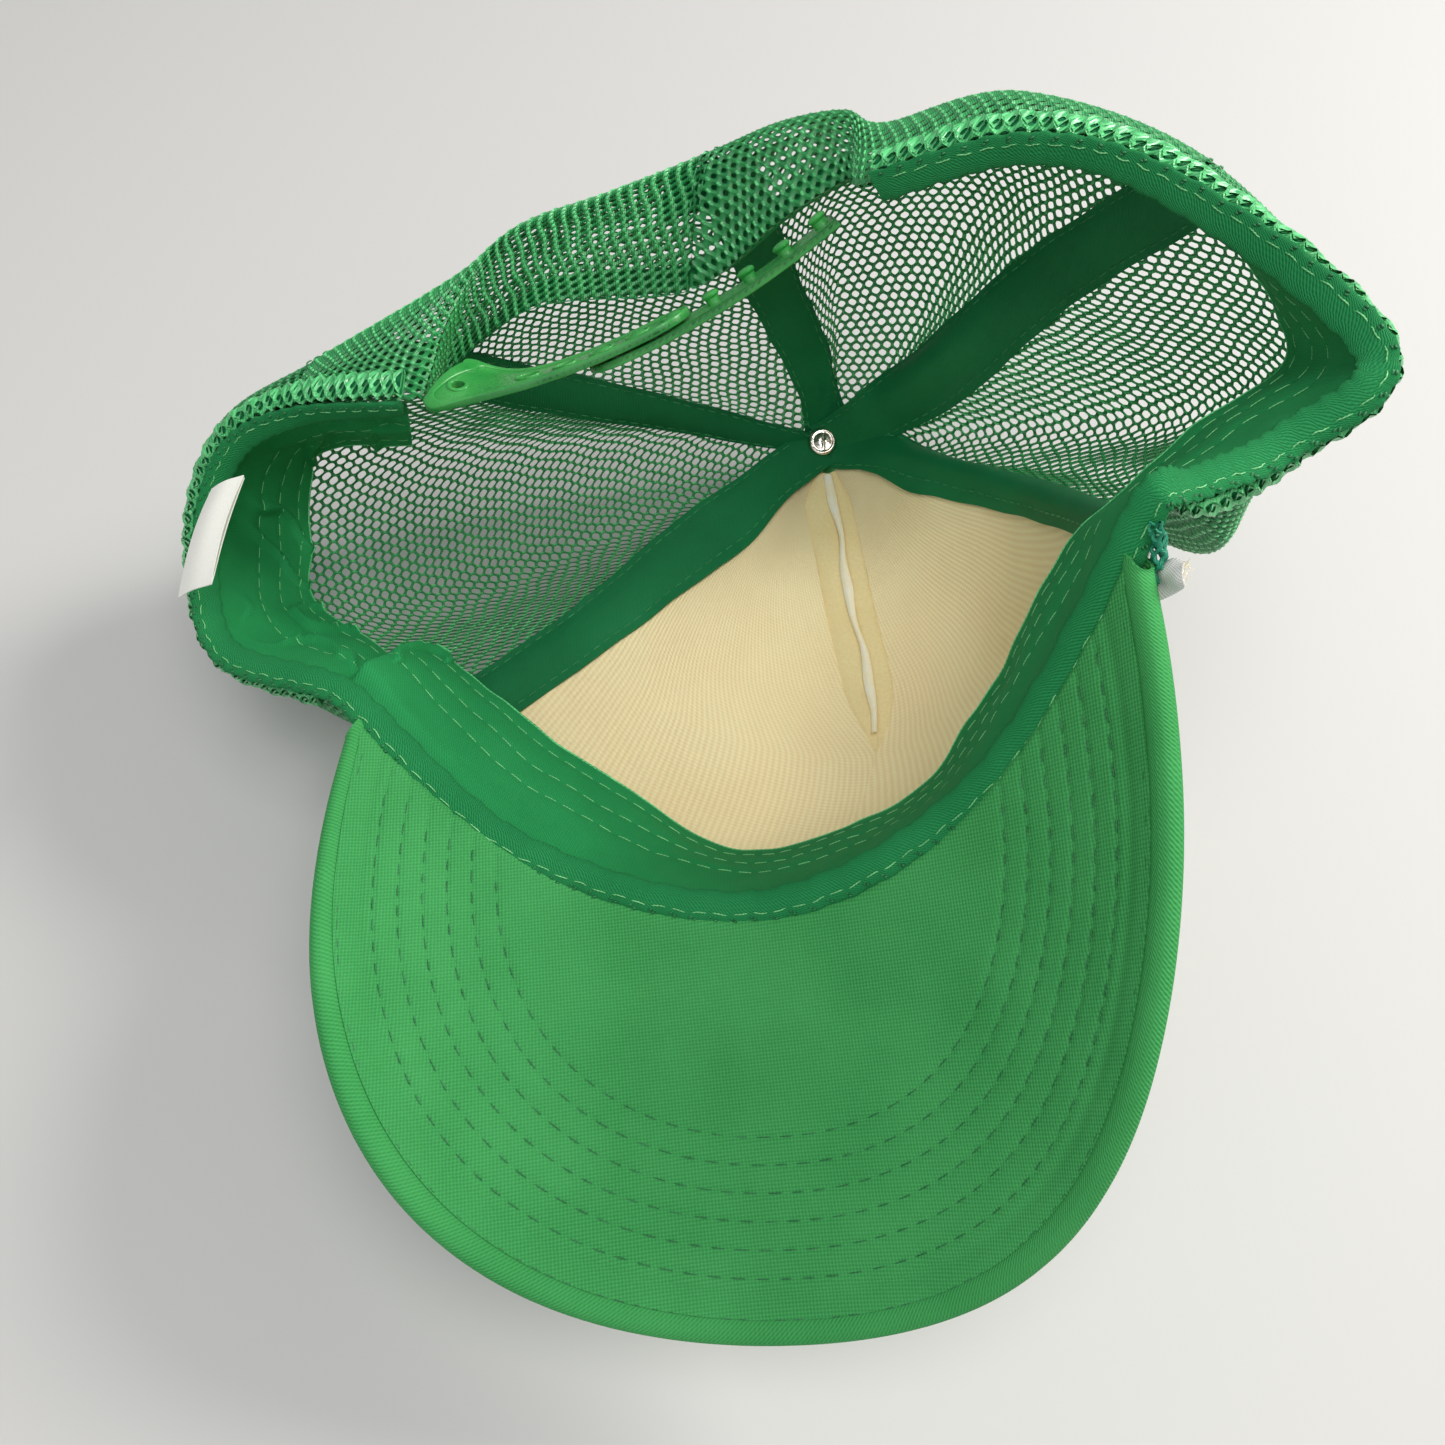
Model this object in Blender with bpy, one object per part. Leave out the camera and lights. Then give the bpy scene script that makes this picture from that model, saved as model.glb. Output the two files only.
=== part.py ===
"""Trucker mesh cap lying on its crown, open side up, brim towards -Y.

Every sub-part is one closed solid. The crown is one smooth surface, read from a net of
ribs that run from the rim to the button; the brim is a flat pattern, bent and placed.
Metres, +Z up, table at Z = 0.
"""
import math

import bmesh
import bpy
import numpy as np

# ---- Driving dimensions, metres ---------------------------------------------------------

PLACE = np.array([-0.00407, 0.0002, -0.00071])   # stands the box of the whole cap on the origin

FABRIC = 0.0007                       # tapes and binding
MESH = 0.0008
LINING = 0.0004
FOAM = 0.0026
FACE_FABRIC = 0.0006
GAP = 0.0003                          # between layers that touch

TAPE_WIDTH = 0.015
TAPE_MITRE = 0.36                     # widest half of a tape, as a share of the way to the next
TAPE_TIP = 0.14                       # the same at the rivet
SWEATBAND_THICKNESS = 0.0009
SWEATBAND_STANDOFF = 0.0024           # from the crown surface at the rim
ARCH_BINDING_WIDTH = 0.009
HEM_WIDTH = 0.0055
HEM_THICKNESS = 0.0018
BEAD_WIDTH = 0.0062
BEAD_THICKNESS = 0.0013
DART_HALF_WIDTH = 0.0052

BRIM_HALF_CHORD = 0.086               # pattern: half the distance between the brim's corners
BRIM_INNER_SAG = 0.0492
BRIM_INNER_POWER = 1.957
BRIM_HALF_WIDTH = 0.087
BRIM_DEPTH = 0.121
BRIM_WIDEST = 0.033                   # distance of the widest place from the corner line
BRIM_OUTLINE_POWER = 2.07
BRIM_BEND = 10.6                      # curvature across the brim, 1/m
BRIM_BEND_GROWTH = 38.0               # more curvature towards the front
BRIM_TWIST = 2.64
BRIM_BOARD = 0.0020
BRIM_COVER = 0.0006
BRIM_EDGE_BAND = 0.0045               # how far the upper cover wraps on to the underside
BRIM_STANDOFF = 0.0045                # from the crown's surface to the brim's inner edge
ROPE_RADIUS = 0.0015

BUTTON_RADIUS = 0.007
BUTTON_HEIGHT = 0.0036
RIVET_RADIUS = 0.0037
SHANK_RADIUS = 0.0014
RIVET_HOLE = 0.0030                   # radius where the panels and tapes end

STRAP_WIDTH = 0.018
STRAP_THICKNESS = 0.0012
STUD_RADIUS = 0.0019
STUD_HEIGHT = 0.0024
STUD_PITCH = 0.0085
STUD_COUNT = 7
HOLE_RADIUS = 0.0024

LABEL_THICKNESS = 0.0005

# ---- The brim: a flat pattern (s across, q forward), bent about its forward axis --------

BRIM_ORIGIN = np.array([0.0137, -0.0035, 0.0729])
BRIM_ACROSS = np.array([-0.938, 0.033, -0.346])
BRIM_FORWARD = np.array([0.076, -0.952, -0.298])
BRIM_MIDDLE = 0.06


def unit(vector):
    return vector / np.linalg.norm(vector)


BRIM_ACROSS = unit(BRIM_ACROSS - BRIM_FORWARD * (BRIM_ACROSS @ BRIM_FORWARD) / (BRIM_FORWARD @ BRIM_FORWARD))
BRIM_FORWARD = unit(BRIM_FORWARD)
BRIM_UP = np.cross(BRIM_ACROSS, BRIM_FORWARD)


def brim_bent(s, q):
    bend = BRIM_BEND + BRIM_BEND_GROWTH * (q - BRIM_MIDDLE)
    across = math.sin(s * bend) / bend
    rise = (1 - math.cos(s * bend)) / bend + BRIM_TWIST * s * (q - BRIM_MIDDLE)
    return BRIM_ORIGIN + across * BRIM_ACROSS + q * BRIM_FORWARD + rise * BRIM_UP


def brim_point(s, q, off=0.0):
    """A point of the brim; off is measured from the board's middle towards the underside."""
    point = brim_bent(s, q)
    if off:
        step = 0.001
        along_s = brim_bent(s + step, q) - brim_bent(s - step, q)
        along_q = brim_bent(s, q + step) - brim_bent(s, q - step)
        point = point + off * unit(np.cross(along_s, along_q))
    return point


def brim_inner(s):
    return BRIM_INNER_SAG * (1 - abs(s / BRIM_HALF_CHORD) ** BRIM_INNER_POWER)


def brim_outline(turn):
    """Outline point in the pattern; turn runs from -1, one corner, over 0, the front, to 1."""
    side, left = abs(turn), 1 if turn >= 0 else -1
    corner_s, corner_q = BRIM_HALF_CHORD - 0.002, 0.004
    straight = 0.2
    if side > 1 - straight:
        part = (1 - side) / straight
        s = corner_s + (BRIM_HALF_WIDTH - corner_s) * (1 - (1 - part) ** 2)
        q = corner_q + (BRIM_WIDEST - corner_q) * part
    else:
        angle = (1 - side / (1 - straight)) * math.pi / 2
        power = 2 / BRIM_OUTLINE_POWER
        s = BRIM_HALF_WIDTH * math.cos(angle) ** power
        q = BRIM_WIDEST + (BRIM_DEPTH - BRIM_WIDEST) * math.sin(angle) ** power
    return np.array([left * s, q])


def brim_ray(turn):
    """Inner-edge point, outline point and the way from one to the other, in the pattern."""
    s = turn * (BRIM_HALF_CHORD - 0.0025)
    start = np.array([s, brim_inner(s)])
    way = brim_outline(turn) - start
    length = np.linalg.norm(way)
    return start, way / length, length


def rim_at_brim(s):
    return brim_point(s, brim_inner(s) - BRIM_STANDOFF)


# ---- The crown: ribs from the rim to the button -----------------------------------------

BUTTON = (0.0366, 0.1043, 0.0100)
BUTTON_AXIS = unit(np.array([-0.10, -0.42, 0.90]))     # out of the crown's inside
RIBS = [
    # name, rim, two or three fingers below it, half way, near the button
    ("front", rim_at_brim(0.0), (0.030, -0.020, 0.012), (0.046, 0.012, 0.009), (0.042, 0.056, 0.009)),
    ("front_r", rim_at_brim(-0.047), (0.070, -0.012, 0.040), (0.071, 0.029, 0.023), (0.055, 0.064, 0.015)),
    ("seam_front_right", rim_at_brim(-0.086), (0.082, 0.016, 0.094), (0.078, 0.053, 0.054), (0.060, 0.082, 0.028)),
    ("side_r1", (0.082, -0.010, 0.138), (0.096, 0.006, 0.099), (0.088, 0.048, 0.061), (0.064, 0.081, 0.031)),
    ("side_r2", (0.096, -0.002, 0.138), (0.106, 0.025, 0.096), (0.097, 0.057, 0.059), (0.070, 0.083, 0.030)),
    ("side_r3", (0.108, 0.009, 0.147), (0.121, 0.038, 0.113), (0.111, 0.067, 0.069), (0.076, 0.091, 0.034)),
    ("seam_rear_right", (0.084, 0.051, 0.142), (0.099, 0.071, 0.126), (0.083, 0.093, 0.083), (0.062, 0.097, 0.049)),
    ("rear_r1", (0.061, 0.061, 0.141), (0.066, 0.089, 0.129), (0.066, 0.114, 0.085), (0.055, 0.110, 0.040)),
    ("root_right", (0.036, 0.066, 0.128), (0.042, 0.096, 0.117), (0.041, 0.117, 0.079), (0.042, 0.113, 0.037)),
    ("arch_foot_right", (0.035, 0.083, 0.115), (0.034, 0.102, 0.115), (0.034, 0.117, 0.075), (0.039, 0.113, 0.036)),
    ("arch_right", (0.022, 0.085, 0.103), (0.022, 0.105, 0.110), (0.029, 0.117, 0.066), (0.038, 0.113, 0.032)),
    ("seam_rear", (0.003, 0.087, 0.082), (0.008, 0.105, 0.103), (0.023, 0.117, 0.056), (0.035, 0.113, 0.026)),
    ("arch_left", (-0.030, 0.082, 0.082), (-0.012, 0.100, 0.097), (0.010, 0.114, 0.053), (0.030, 0.112, 0.024)),
    ("arch_foot_left", (-0.051, 0.075, 0.069), (-0.030, 0.096, 0.093), (-0.002, 0.111, 0.051), (0.025, 0.110, 0.022)),
    ("root_left", (-0.054, 0.058, 0.080), (-0.044, 0.090, 0.085), (-0.016, 0.107, 0.049), (0.019, 0.108, 0.021)),
    ("seam_rear_left", (-0.080, 0.061, 0.073), (-0.075, 0.082, 0.068), (-0.039, 0.097, 0.042), (0.002, 0.105, 0.021)),
    ("side_l3", (-0.097, 0.058, 0.064), (-0.102, 0.077, 0.050), (-0.066, 0.089, 0.026), (-0.009, 0.102, 0.015)),
    ("side_l2", (-0.104, 0.043, 0.051), (-0.111, 0.054, 0.029), (-0.071, 0.066, 0.012), (-0.012, 0.093, 0.010)),
    ("side_l1", (-0.095, 0.015, 0.051), (-0.095, 0.034, 0.018), (-0.061, 0.052, 0.006), (-0.009, 0.081, 0.008)),
    ("seam_front_left", rim_at_brim(0.086), (-0.060, 0.013, 0.016), (-0.024, 0.048, 0.006), (0.007, 0.079, 0.007)),
    ("front_l", rim_at_brim(0.047), (-0.020, -0.008, 0.009), (0.002, 0.022, 0.006), (0.018, 0.062, 0.007)),
]
RIB = {rib[0]: number for number, rib in enumerate(RIBS)}
NET = np.array([[*rib[1:], BUTTON] for rib in RIBS])
CORNER_EASE = {RIB["seam_front_right"]: 0.45, RIB["seam_front_left"]: 0.6}

SWEATBAND_EDGE = {
    # upper edge of the sweatband, which leans into the crown
    "front": (0.015, -0.025, 0.037), "front_r": (0.048, -0.023, 0.065),
    "seam_front_right": (0.068, -0.002, 0.111), "side_r1": (0.076, 0.007, 0.112),
    "side_r2": (0.090, 0.019, 0.116), "side_r3": (0.107, 0.031, 0.125),
    "seam_rear_right": (0.0915, 0.0725, 0.1230), "rear_r1": (0.0660, 0.0835, 0.1220),
    "root_right": (0.0395, 0.0875, 0.1080), "root_left": (-0.058, 0.071, 0.052),
    "seam_rear_left": (-0.083, 0.074, 0.045), "side_l3": (-0.088, 0.071, 0.037),
    "side_l2": (-0.088, 0.058, 0.029), "side_l1": (-0.082, 0.037, 0.033),
    "seam_front_left": (-0.048, 0.015, 0.040), "front_l": (-0.019, -0.006, 0.040),
}


def hermite(points, at):
    """Smooth curve through the points of one rib."""
    count = len(points)
    slopes = np.empty_like(points)
    slopes[1:-1] = (points[2:] - points[:-2]) * (count - 1) / 2
    slopes[0] = 1.5 * (points[1] - points[0]) * (count - 1) - 0.5 * slopes[1]
    slopes[-1] = 1.5 * (points[-1] - points[-2]) * (count - 1) - 0.5 * slopes[-2]
    slopes[-1] -= (slopes[-1] @ BUTTON_AXIS) * BUTTON_AXIS
    span = min(int(at * (count - 1)), count - 2)
    width = 1 / (count - 1)
    t = at / width - span
    return ((2 * t**3 - 3 * t**2 + 1) * points[span] + (t**3 - 2 * t**2 + t) * width * slopes[span]
            + (3 * t**2 - 2 * t**3) * points[span + 1] + (t**3 - t**2) * width * slopes[span + 1])


def catmull(before, start, end, after, t, ease=(1, 1)):
    """Smooth curve from start to end; a lower ease makes a tighter corner at that end."""
    leave, arrive = ease[0] * (end - before) / 2, ease[1] * (after - start) / 2
    return ((2 * t**3 - 3 * t**2 + 1) * start + (t**3 - 2 * t**2 + t) * leave
            + (3 * t**2 - 2 * t**3) * end + (t**3 - t**2) * arrive)


def crown(u, v):
    """Crown surface: u counts ribs round the rim, v runs from the rim, 0, to the button, 1."""
    first = math.floor(u)
    rows = [hermite(NET[(first + k) % len(NET)], v) for k in (-1, 0, 1, 2)]
    ease = [CORNER_EASE.get((first + k) % len(NET), 1) for k in (0, 1)]
    return catmull(*rows, u - first, ease)


def crown_frame(u, v):
    """Way along the rim, way towards the button and outward normal, with metres per u."""
    step = 0.004
    low, high = max(v - step, 0), min(v + step, 1)
    around = (crown(u + 0.05, v) - crown(u - 0.05, v)) / 0.1
    down = unit(crown(u, high) - crown(u, low))
    return around, down, unit(np.cross(down, around))


def clear_of_rivet(u, v):
    """Draws the last rows together, so that the last one ends at the rivet's hole."""
    if v <= LAST_FULL_ROW:
        return v
    span = np.linalg.norm(crown(u, 1.0) - crown(u, LAST_FULL_ROW))
    reach = (1 - LAST_FULL_ROW) * (1 - RIVET_HOLE / span)
    return LAST_FULL_ROW + reach * (v - LAST_FULL_ROW) / (1 - LAST_FULL_ROW)


def crown_layer(u, v, off=0.0):
    v = clear_of_rivet(u, v)
    return crown(u, v) + off * crown_frame(u, v)[2]


def rib_share(u, v, width):
    """How far in u a width in metres reaches at this place."""
    return width / np.linalg.norm(crown_frame(u, clear_of_rivet(u, v))[0])


ROWS = (0.004, 0.05, 0.10, 0.16, 0.22, 0.28, 0.38, 0.49, 0.58, 0.67, 0.76, 0.86, 0.93, 1.0)
LAST_FULL_ROW = 0.76
DART_ROW = 7                           # the dart in the front lining opens from this row on


# ---- Solids -----------------------------------------------------------------------------


def material(name, colour, roughness, metallic=0.0):
    mat = bpy.data.materials.new(name)
    mat.use_nodes = True
    shader = mat.node_tree.nodes["Principled BSDF"]
    shader.inputs["Base Color"].default_value = (*colour, 1)
    shader.inputs["Roughness"].default_value = roughness
    shader.inputs["Metallic"].default_value = metallic
    mat.diffuse_color = (*colour, 1)
    return mat


def add_object(name, mesh, mat, origin=(0, 0, 0)):
    """Puts the mesh, whose points are world points, on an object with this origin."""
    shift = np.array(origin)
    for vertex in mesh.vertices:
        vertex.co = np.array(vertex.co) - shift
    mesh.materials.append(mat)
    mesh.shade_smooth()
    mesh.set_sharp_from_angle(angle=math.radians(40))
    obj = bpy.data.objects.new(name, mesh)
    obj.location = shift + PLACE
    bpy.context.scene.collection.objects.link(obj)
    return obj


def mesh_from(name, points, faces):
    bm = bmesh.new()
    verts = [bm.verts.new(tuple(point)) for point in points]
    for face in faces:
        bm.faces.new([verts[index] for index in face])
    bmesh.ops.recalc_face_normals(bm, faces=bm.faces)
    mesh = bpy.data.meshes.new(name)
    bm.to_mesh(mesh)
    bm.free()
    return mesh


def grid_normals(grid):
    along_i = np.gradient(grid, axis=0)
    along_j = np.gradient(grid, axis=1)
    normals = np.cross(along_i, along_j)
    return normals / np.linalg.norm(normals, axis=2, keepdims=True)


def slab(name, mat, low, high, skip=(), origin=(0, 0, 0)):
    """Closed solid between two grids of points. skip names grid cells that are left open;
    neighbouring grid points at the same place are welded."""
    rows, columns = low.shape[:2]
    ids = np.arange(rows * columns).reshape(rows, columns)
    for i in range(rows):
        for j in range(columns - 1):
            if np.linalg.norm(low[i, j + 1] - low[i, j]) < 1e-6:
                ids[i, j + 1] = ids[i, j]
    cells = []
    for i in range(rows - 1):
        for j in range(columns - 1):
            if (i, j) in skip:
                continue
            ring = [ids[i, j], ids[i, j + 1], ids[i + 1, j + 1], ids[i + 1, j]]
            ring = [k for place, k in enumerate(ring) if k != ring[place - 1]]
            if len(ring) > 2:
                cells.append(ring)
    total = rows * columns
    cells = [part for cell in cells for part in ((cell,) if len(cell) == 3 else (cell[:3], [cell[0], *cell[2:]]))]
    points = np.concatenate([low.reshape(-1, 3), high.reshape(-1, 3)])
    faces = [cell[::-1] for cell in cells] + [[k + total for k in cell] for cell in cells]
    directed = {(cell[k - 1], cell[k]) for cell in cells for k in range(len(cell))}
    for start, end in sorted(directed):
        if (end, start) not in directed:
            faces.append([start, end, end + total, start + total])
    used = sorted({k for face in faces for k in face})
    new = {k: place for place, k in enumerate(used)}
    mesh = mesh_from(name, points[used], [[new[k] for k in face] for face in faces])
    return add_object(name, mesh, mat, origin)


def tube(name, mat, path, radius, sides=8):
    """Round cord along a path of points, with flat ends."""
    points, faces = [], []
    side_way = np.array([0.0, 0.0, 1.0])
    for number, point in enumerate(path):
        tangent = unit(path[min(number + 1, len(path) - 1)] - path[max(number - 1, 0)])
        side_way = unit(side_way - tangent * (side_way @ tangent))
        other = np.cross(tangent, side_way)
        for k in range(sides):
            angle = 2 * math.pi * k / sides
            points.append(point + radius * (math.cos(angle) * side_way + math.sin(angle) * other))
    for ring in range(len(path) - 1):
        for k in range(sides):
            a, b = ring * sides + k, ring * sides + (k + 1) % sides
            faces.append([a, b, b + sides, a + sides])
    faces.append(list(range(sides)))
    faces.append([len(points) - sides + k for k in range(sides)])
    return add_object(name, mesh_from(name, points, faces), mat)


def turned(name, mat, profile, centre, axis, sides=24):
    """Solid of revolution: profile is (radius, height) pairs, from and to the axis."""
    across = unit(np.cross(axis, (1.0, 0.2, 0.0)))
    other = np.cross(axis, across)
    points, rings = [], []
    for radius, height in profile:
        base = centre + height * axis
        if radius == 0:
            rings.append([len(points)])
            points.append(base)
            continue
        rings.append(list(range(len(points), len(points) + sides)))
        for k in range(sides):
            angle = 2 * math.pi * k / sides
            points.append(base + radius * (math.cos(angle) * across + math.sin(angle) * other))
    faces = []
    for ring, following in zip(rings, rings[1:]):
        for k in range(sides):
            corners = [ring[k % len(ring)], ring[(k + 1) % len(ring)],
                       following[(k + 1) % len(following)], following[k % len(following)]]
            corners = [c for place, c in enumerate(corners) if c != corners[place - 1]]
            faces.append(corners)
    return add_object(name, mesh_from(name, points, faces), mat, centre)


def boolean(obj, cutter, operation):
    """Applies a Boolean with a cutter that is then removed."""
    modifier = obj.modifiers.new("cut", "BOOLEAN")
    modifier.operation = operation
    modifier.object = cutter
    depsgraph = bpy.context.evaluated_depsgraph_get()
    mesh = bpy.data.meshes.new_from_object(obj.evaluated_get(depsgraph))
    obj.modifiers.clear()
    obj.data = mesh
    bpy.data.objects.remove(cutter)


# ---- Crown panels, tapes and trims ------------------------------------------------------

SEAMS = {"front_right": RIB["seam_front_right"], "rear_right": RIB["seam_rear_right"],
         "rear_centre": RIB["seam_rear"], "rear_left": RIB["seam_rear_left"],
         "front_left": RIB["seam_front_left"]}


def tape_share(seam, v):
    """Half a tape's width in u, mitred where the tapes meet at the button."""
    seams = sorted(SEAMS.values())
    spans = []
    for other in seams:
        apart = abs(other - seam)
        if apart:
            spans.append(min(apart, len(NET) - apart))
    mitre = TAPE_MITRE if v < ROWS[-1] else TAPE_TIP
    return min(rib_share(seam, v, TAPE_WIDTH / 2), mitre * min(spans))


def panel_columns(first, last, v, inner_count):
    """u of a panel's columns: its seams, the edges of the tapes over them, and between."""
    trim_first = rib_share(first, v, GAP * 0.7)
    trim_last = rib_share(last, v, GAP * 0.7)
    start, end = tape_share(first % len(NET), v), tape_share(last % len(NET), v)
    return [first + trim_first, first + start / 2, *np.linspace(first + start, last - end, inner_count),
            last - end / 2, last - trim_last]


def panel(name, mat, first, last, inner, outer, inner_count):
    low, high = [], []
    for v in ROWS:
        columns = panel_columns(first, last, v, inner_count)
        low.append([crown_layer(u, v, inner) for u in columns])
        high.append([crown_layer(u, v, outer) for u in columns])
    return slab(name, mat, np.array(low), np.array(high))


def make_mesh_panels(mat):
    half = MESH / 2
    panel("mesh_right_side", mat, SEAMS["front_right"], SEAMS["rear_right"], -half, half, 9)
    panel("mesh_right_rear", mat, SEAMS["rear_right"], SEAMS["rear_centre"], -half, half, 11)
    panel("mesh_left_rear", mat, SEAMS["rear_centre"], SEAMS["rear_left"], -half, half, 9)
    panel("mesh_left_side", mat, SEAMS["rear_left"], SEAMS["front_left"], -half, half, 9)


def dart_share(v):
    """Half the opening of the front dart, in u: closed below the dart, wide at the button."""
    dart_end = ROWS[DART_ROW]
    if v <= dart_end:
        return 0.0
    opening = DART_HALF_WIDTH * min((v - dart_end) / 0.12, 1)
    return min(rib_share(0, v, opening), 0.5)


def front_columns(v):
    """Columns of the front panel, with one on each side of the dart."""
    edge, under_tape, *_, under_other, last = panel_columns(-2, 2, v, 2)
    reach = 2 - tape_share(2, v)
    half = dart_share(v)
    return [edge, under_tape, *np.linspace(-reach, -half, 6), *np.linspace(half, reach, 6), under_other, last]


def make_front(fabric_mat, foam_mat, lining_mat, thread_mat):
    """Front panel: lining, foam and face fabric; the lining is open along the centre dart."""
    depth = -MESH / 2
    dart = {(row, len(front_columns(ROWS[-1])) // 2 - 1) for row in range(DART_ROW, len(ROWS))}
    for name, mat, thickness, skip in (("front_lining", lining_mat, LINING, dart),
                                       ("front_foam", foam_mat, FOAM, ()),
                                       ("front_fabric", fabric_mat, FACE_FABRIC, ())):
        low = [[crown_layer(u, v, depth) for u in front_columns(v)] for v in ROWS]
        high = [[crown_layer(u, v, depth + thickness) for u in front_columns(v)] for v in ROWS]
        slab(name, mat, np.array(low), np.array(high), skip=skip)
        depth += thickness + GAP
    low, high = [], []
    for v in ROWS[DART_ROW + 1:-1]:
        columns = [-rib_share(0, v, 0.0008), rib_share(0, v, 0.0008)]
        low.append([crown_layer(u, v, -MESH / 2 - 0.0005) for u in columns])
        high.append([crown_layer(u, v, -MESH / 2 - 0.0001) for u in columns])
    slab("dart_thread", thread_mat, np.array(low), np.array(high))


def make_tapes(mat):
    """Tapes over the panel seams, on the inside, mitred at the button."""
    outer = -MESH / 2 - 0.0004
    for name, seam in SEAMS.items():
        low, high = [], []
        for v in ROWS[2:] if name == "rear_centre" else ROWS:
            share = tape_share(seam, v)
            columns = np.linspace(seam - share, seam + share, 5)
            low.append([crown_layer(u, v, outer - FABRIC) for u in columns])
            high.append([crown_layer(u, v, outer) for u in columns])
        slab("tape_" + name, mat, np.array(low), np.array(high))


def ring_strip(name, mat, columns, section):
    """Strip along the rim. section gives its corners as (outward, down) at each place."""
    points, faces = [], []
    count = len(section)
    for u in columns:
        around, down, out = crown_frame(u, 0.0)
        base = crown(u, 0.0)
        points.extend(base + o * out + d * down for o, d in section)
    for ring in range(len(columns) - 1):
        for k in range(count):
            a, b = ring * count + k, ring * count + (k + 1) % count
            faces.append([a, b, b + count, a + count])
    faces.append(list(range(count)))
    faces.append([len(points) - count + k for k in range(count)])
    return add_object(name, mesh_from(name, points, faces), mat)


RIM_LEFT_END = RIB["root_left"] - len(RIBS) + 0.12     # the sweatband runs round the front
RIM_RIGHT_END = RIB["root_right"] - 0.12


def make_sweatband(mat, binding_mat):
    """Flap that is sewn to the rim and leans inwards, and the rolled binding at its foot."""
    edge = {RIB[name]: np.array(point) for name, point in SWEATBAND_EDGE.items()}
    mid, around_count = [], 61
    columns = np.linspace(RIM_LEFT_END, RIM_RIGHT_END, around_count)
    for u in columns:
        first = math.floor(u)
        targets = [edge.get((first + k) % len(NET)) for k in (-1, 0, 1, 2)]
        targets[0] = targets[0] if targets[0] is not None else 2 * targets[1] - targets[2]
        targets[3] = targets[3] if targets[3] is not None else 2 * targets[2] - targets[1]
        top = catmull(*targets, u - first, [CORNER_EASE.get((first + k) % len(NET), 1) for k in (0, 1)])
        _, down, out = crown_frame(u, 0.0)
        foot = crown(u, 0.0) - SWEATBAND_STANDOFF * out + 0.0006 * down
        mid.append([foot + (top - foot) * part for part in (0, 0.35, 0.7, 1)])
    mid = np.array(mid)
    half = grid_normals(mid) * SWEATBAND_THICKNESS / 2
    slab("sweatband", mat, mid - half, mid + half)
    inner, outer = -SWEATBAND_STANDOFF - 0.0008, BEAD_WIDTH - SWEATBAND_STANDOFF - 0.0008
    top = -BEAD_THICKNESS - 0.0007
    bead = [(inner, -0.0007), (outer, -0.0007), (outer - 0.001, top), (inner + 0.001, top)]
    ring_strip("sweatband_edge", binding_mat, columns, bead)


def make_mesh_hems(mat):
    """The turned, overlocked edge of the mesh, outside the rim."""
    inner = MESH / 2 + 0.0009
    outer = inner + HEM_THICKNESS
    section = [(inner, 0.0004), (outer, 0.0004), (outer, HEM_WIDTH), (inner, HEM_WIDTH)]
    ring_strip("mesh_hem_right", mat, np.linspace(SEAMS["front_right"] + 0.25, RIM_RIGHT_END, 24), section)
    ring_strip("mesh_hem_left", mat, np.linspace(RIB["root_left"] + 0.12, SEAMS["front_left"] - 0.2, 24), section)


def make_arch_binding(mat):
    """Tape that binds the edge of the rear opening, on its inside."""
    outer = -MESH / 2 - 0.0008
    section = [(outer, 0.0006), (outer, ARCH_BINDING_WIDTH),
               (outer - FABRIC, ARCH_BINDING_WIDTH), (outer - FABRIC, 0.0006)]
    columns = np.linspace(RIB["arch_foot_right"] + 0.2, RIB["arch_foot_left"] - 0.2, 15)
    ring_strip("arch_binding", mat, columns, section)


# ---- Brim -------------------------------------------------------------------------------

TURNS = np.linspace(-0.97, 0.97, 25)


def edge_inset(length, inset):
    return max(length - inset, length * 0.55)


def brim_rows(turn, parts, reach, off):
    start, way, _ = brim_ray(turn)
    return [brim_point(*(start + way * reach * part), off) for part in parts]


def make_brim(lower_mat, upper_mat, board_mat):
    """Board between a lower cover and an upper cover that wraps round the board's edge."""
    fold = BRIM_BOARD / 2 + GAP + BRIM_COVER / 2 + 0.0001
    parts = np.linspace(0, 1, 6)
    grids = {"board": ([], []), "lower": ([], [])}
    upper = []
    for turn in TURNS:
        start, way, length = brim_ray(turn)
        board_reach = edge_inset(length, fold + BRIM_COVER / 2)
        band_start = min(max(length - BRIM_EDGE_BAND, board_reach * 0.5), board_reach - GAP)
        lower_reach = band_start - 2 * GAP
        lower_parts = min(board_reach, 0.97 * lower_reach / parts[-2]) * parts[:-1]
        for side, off in enumerate((-BRIM_BOARD / 2, BRIM_BOARD / 2)):
            grids["board"][side].append(brim_rows(turn, parts, board_reach, off))
        for side, off in enumerate((fold - BRIM_COVER / 2, fold + BRIM_COVER / 2)):
            reaches = [*lower_parts, lower_reach]
            grids["lower"][side].append([brim_point(*(start + way * reach), off) for reach in reaches])
        line = brim_rows(turn, parts, board_reach, -fold)
        for angle in np.radians((-55, 0, 55)):
            reach = board_reach + fold * math.cos(angle)
            line.append(brim_point(*(start + way * reach), fold * math.sin(angle)))
        line += [brim_point(*(start + way * reach), fold)
                 for reach in (board_reach, band_start)]
        upper.append(line)
    slab("brim_board", board_mat, np.array(grids["board"][0]), np.array(grids["board"][1]))
    slab("brim_lower_cover", lower_mat, np.array(grids["lower"][0]), np.array(grids["lower"][1]))
    upper = np.array(upper)
    half = grid_normals(upper) * BRIM_COVER / 2
    slab("brim_upper_cover", upper_mat, upper - half, upper + half)


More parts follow.
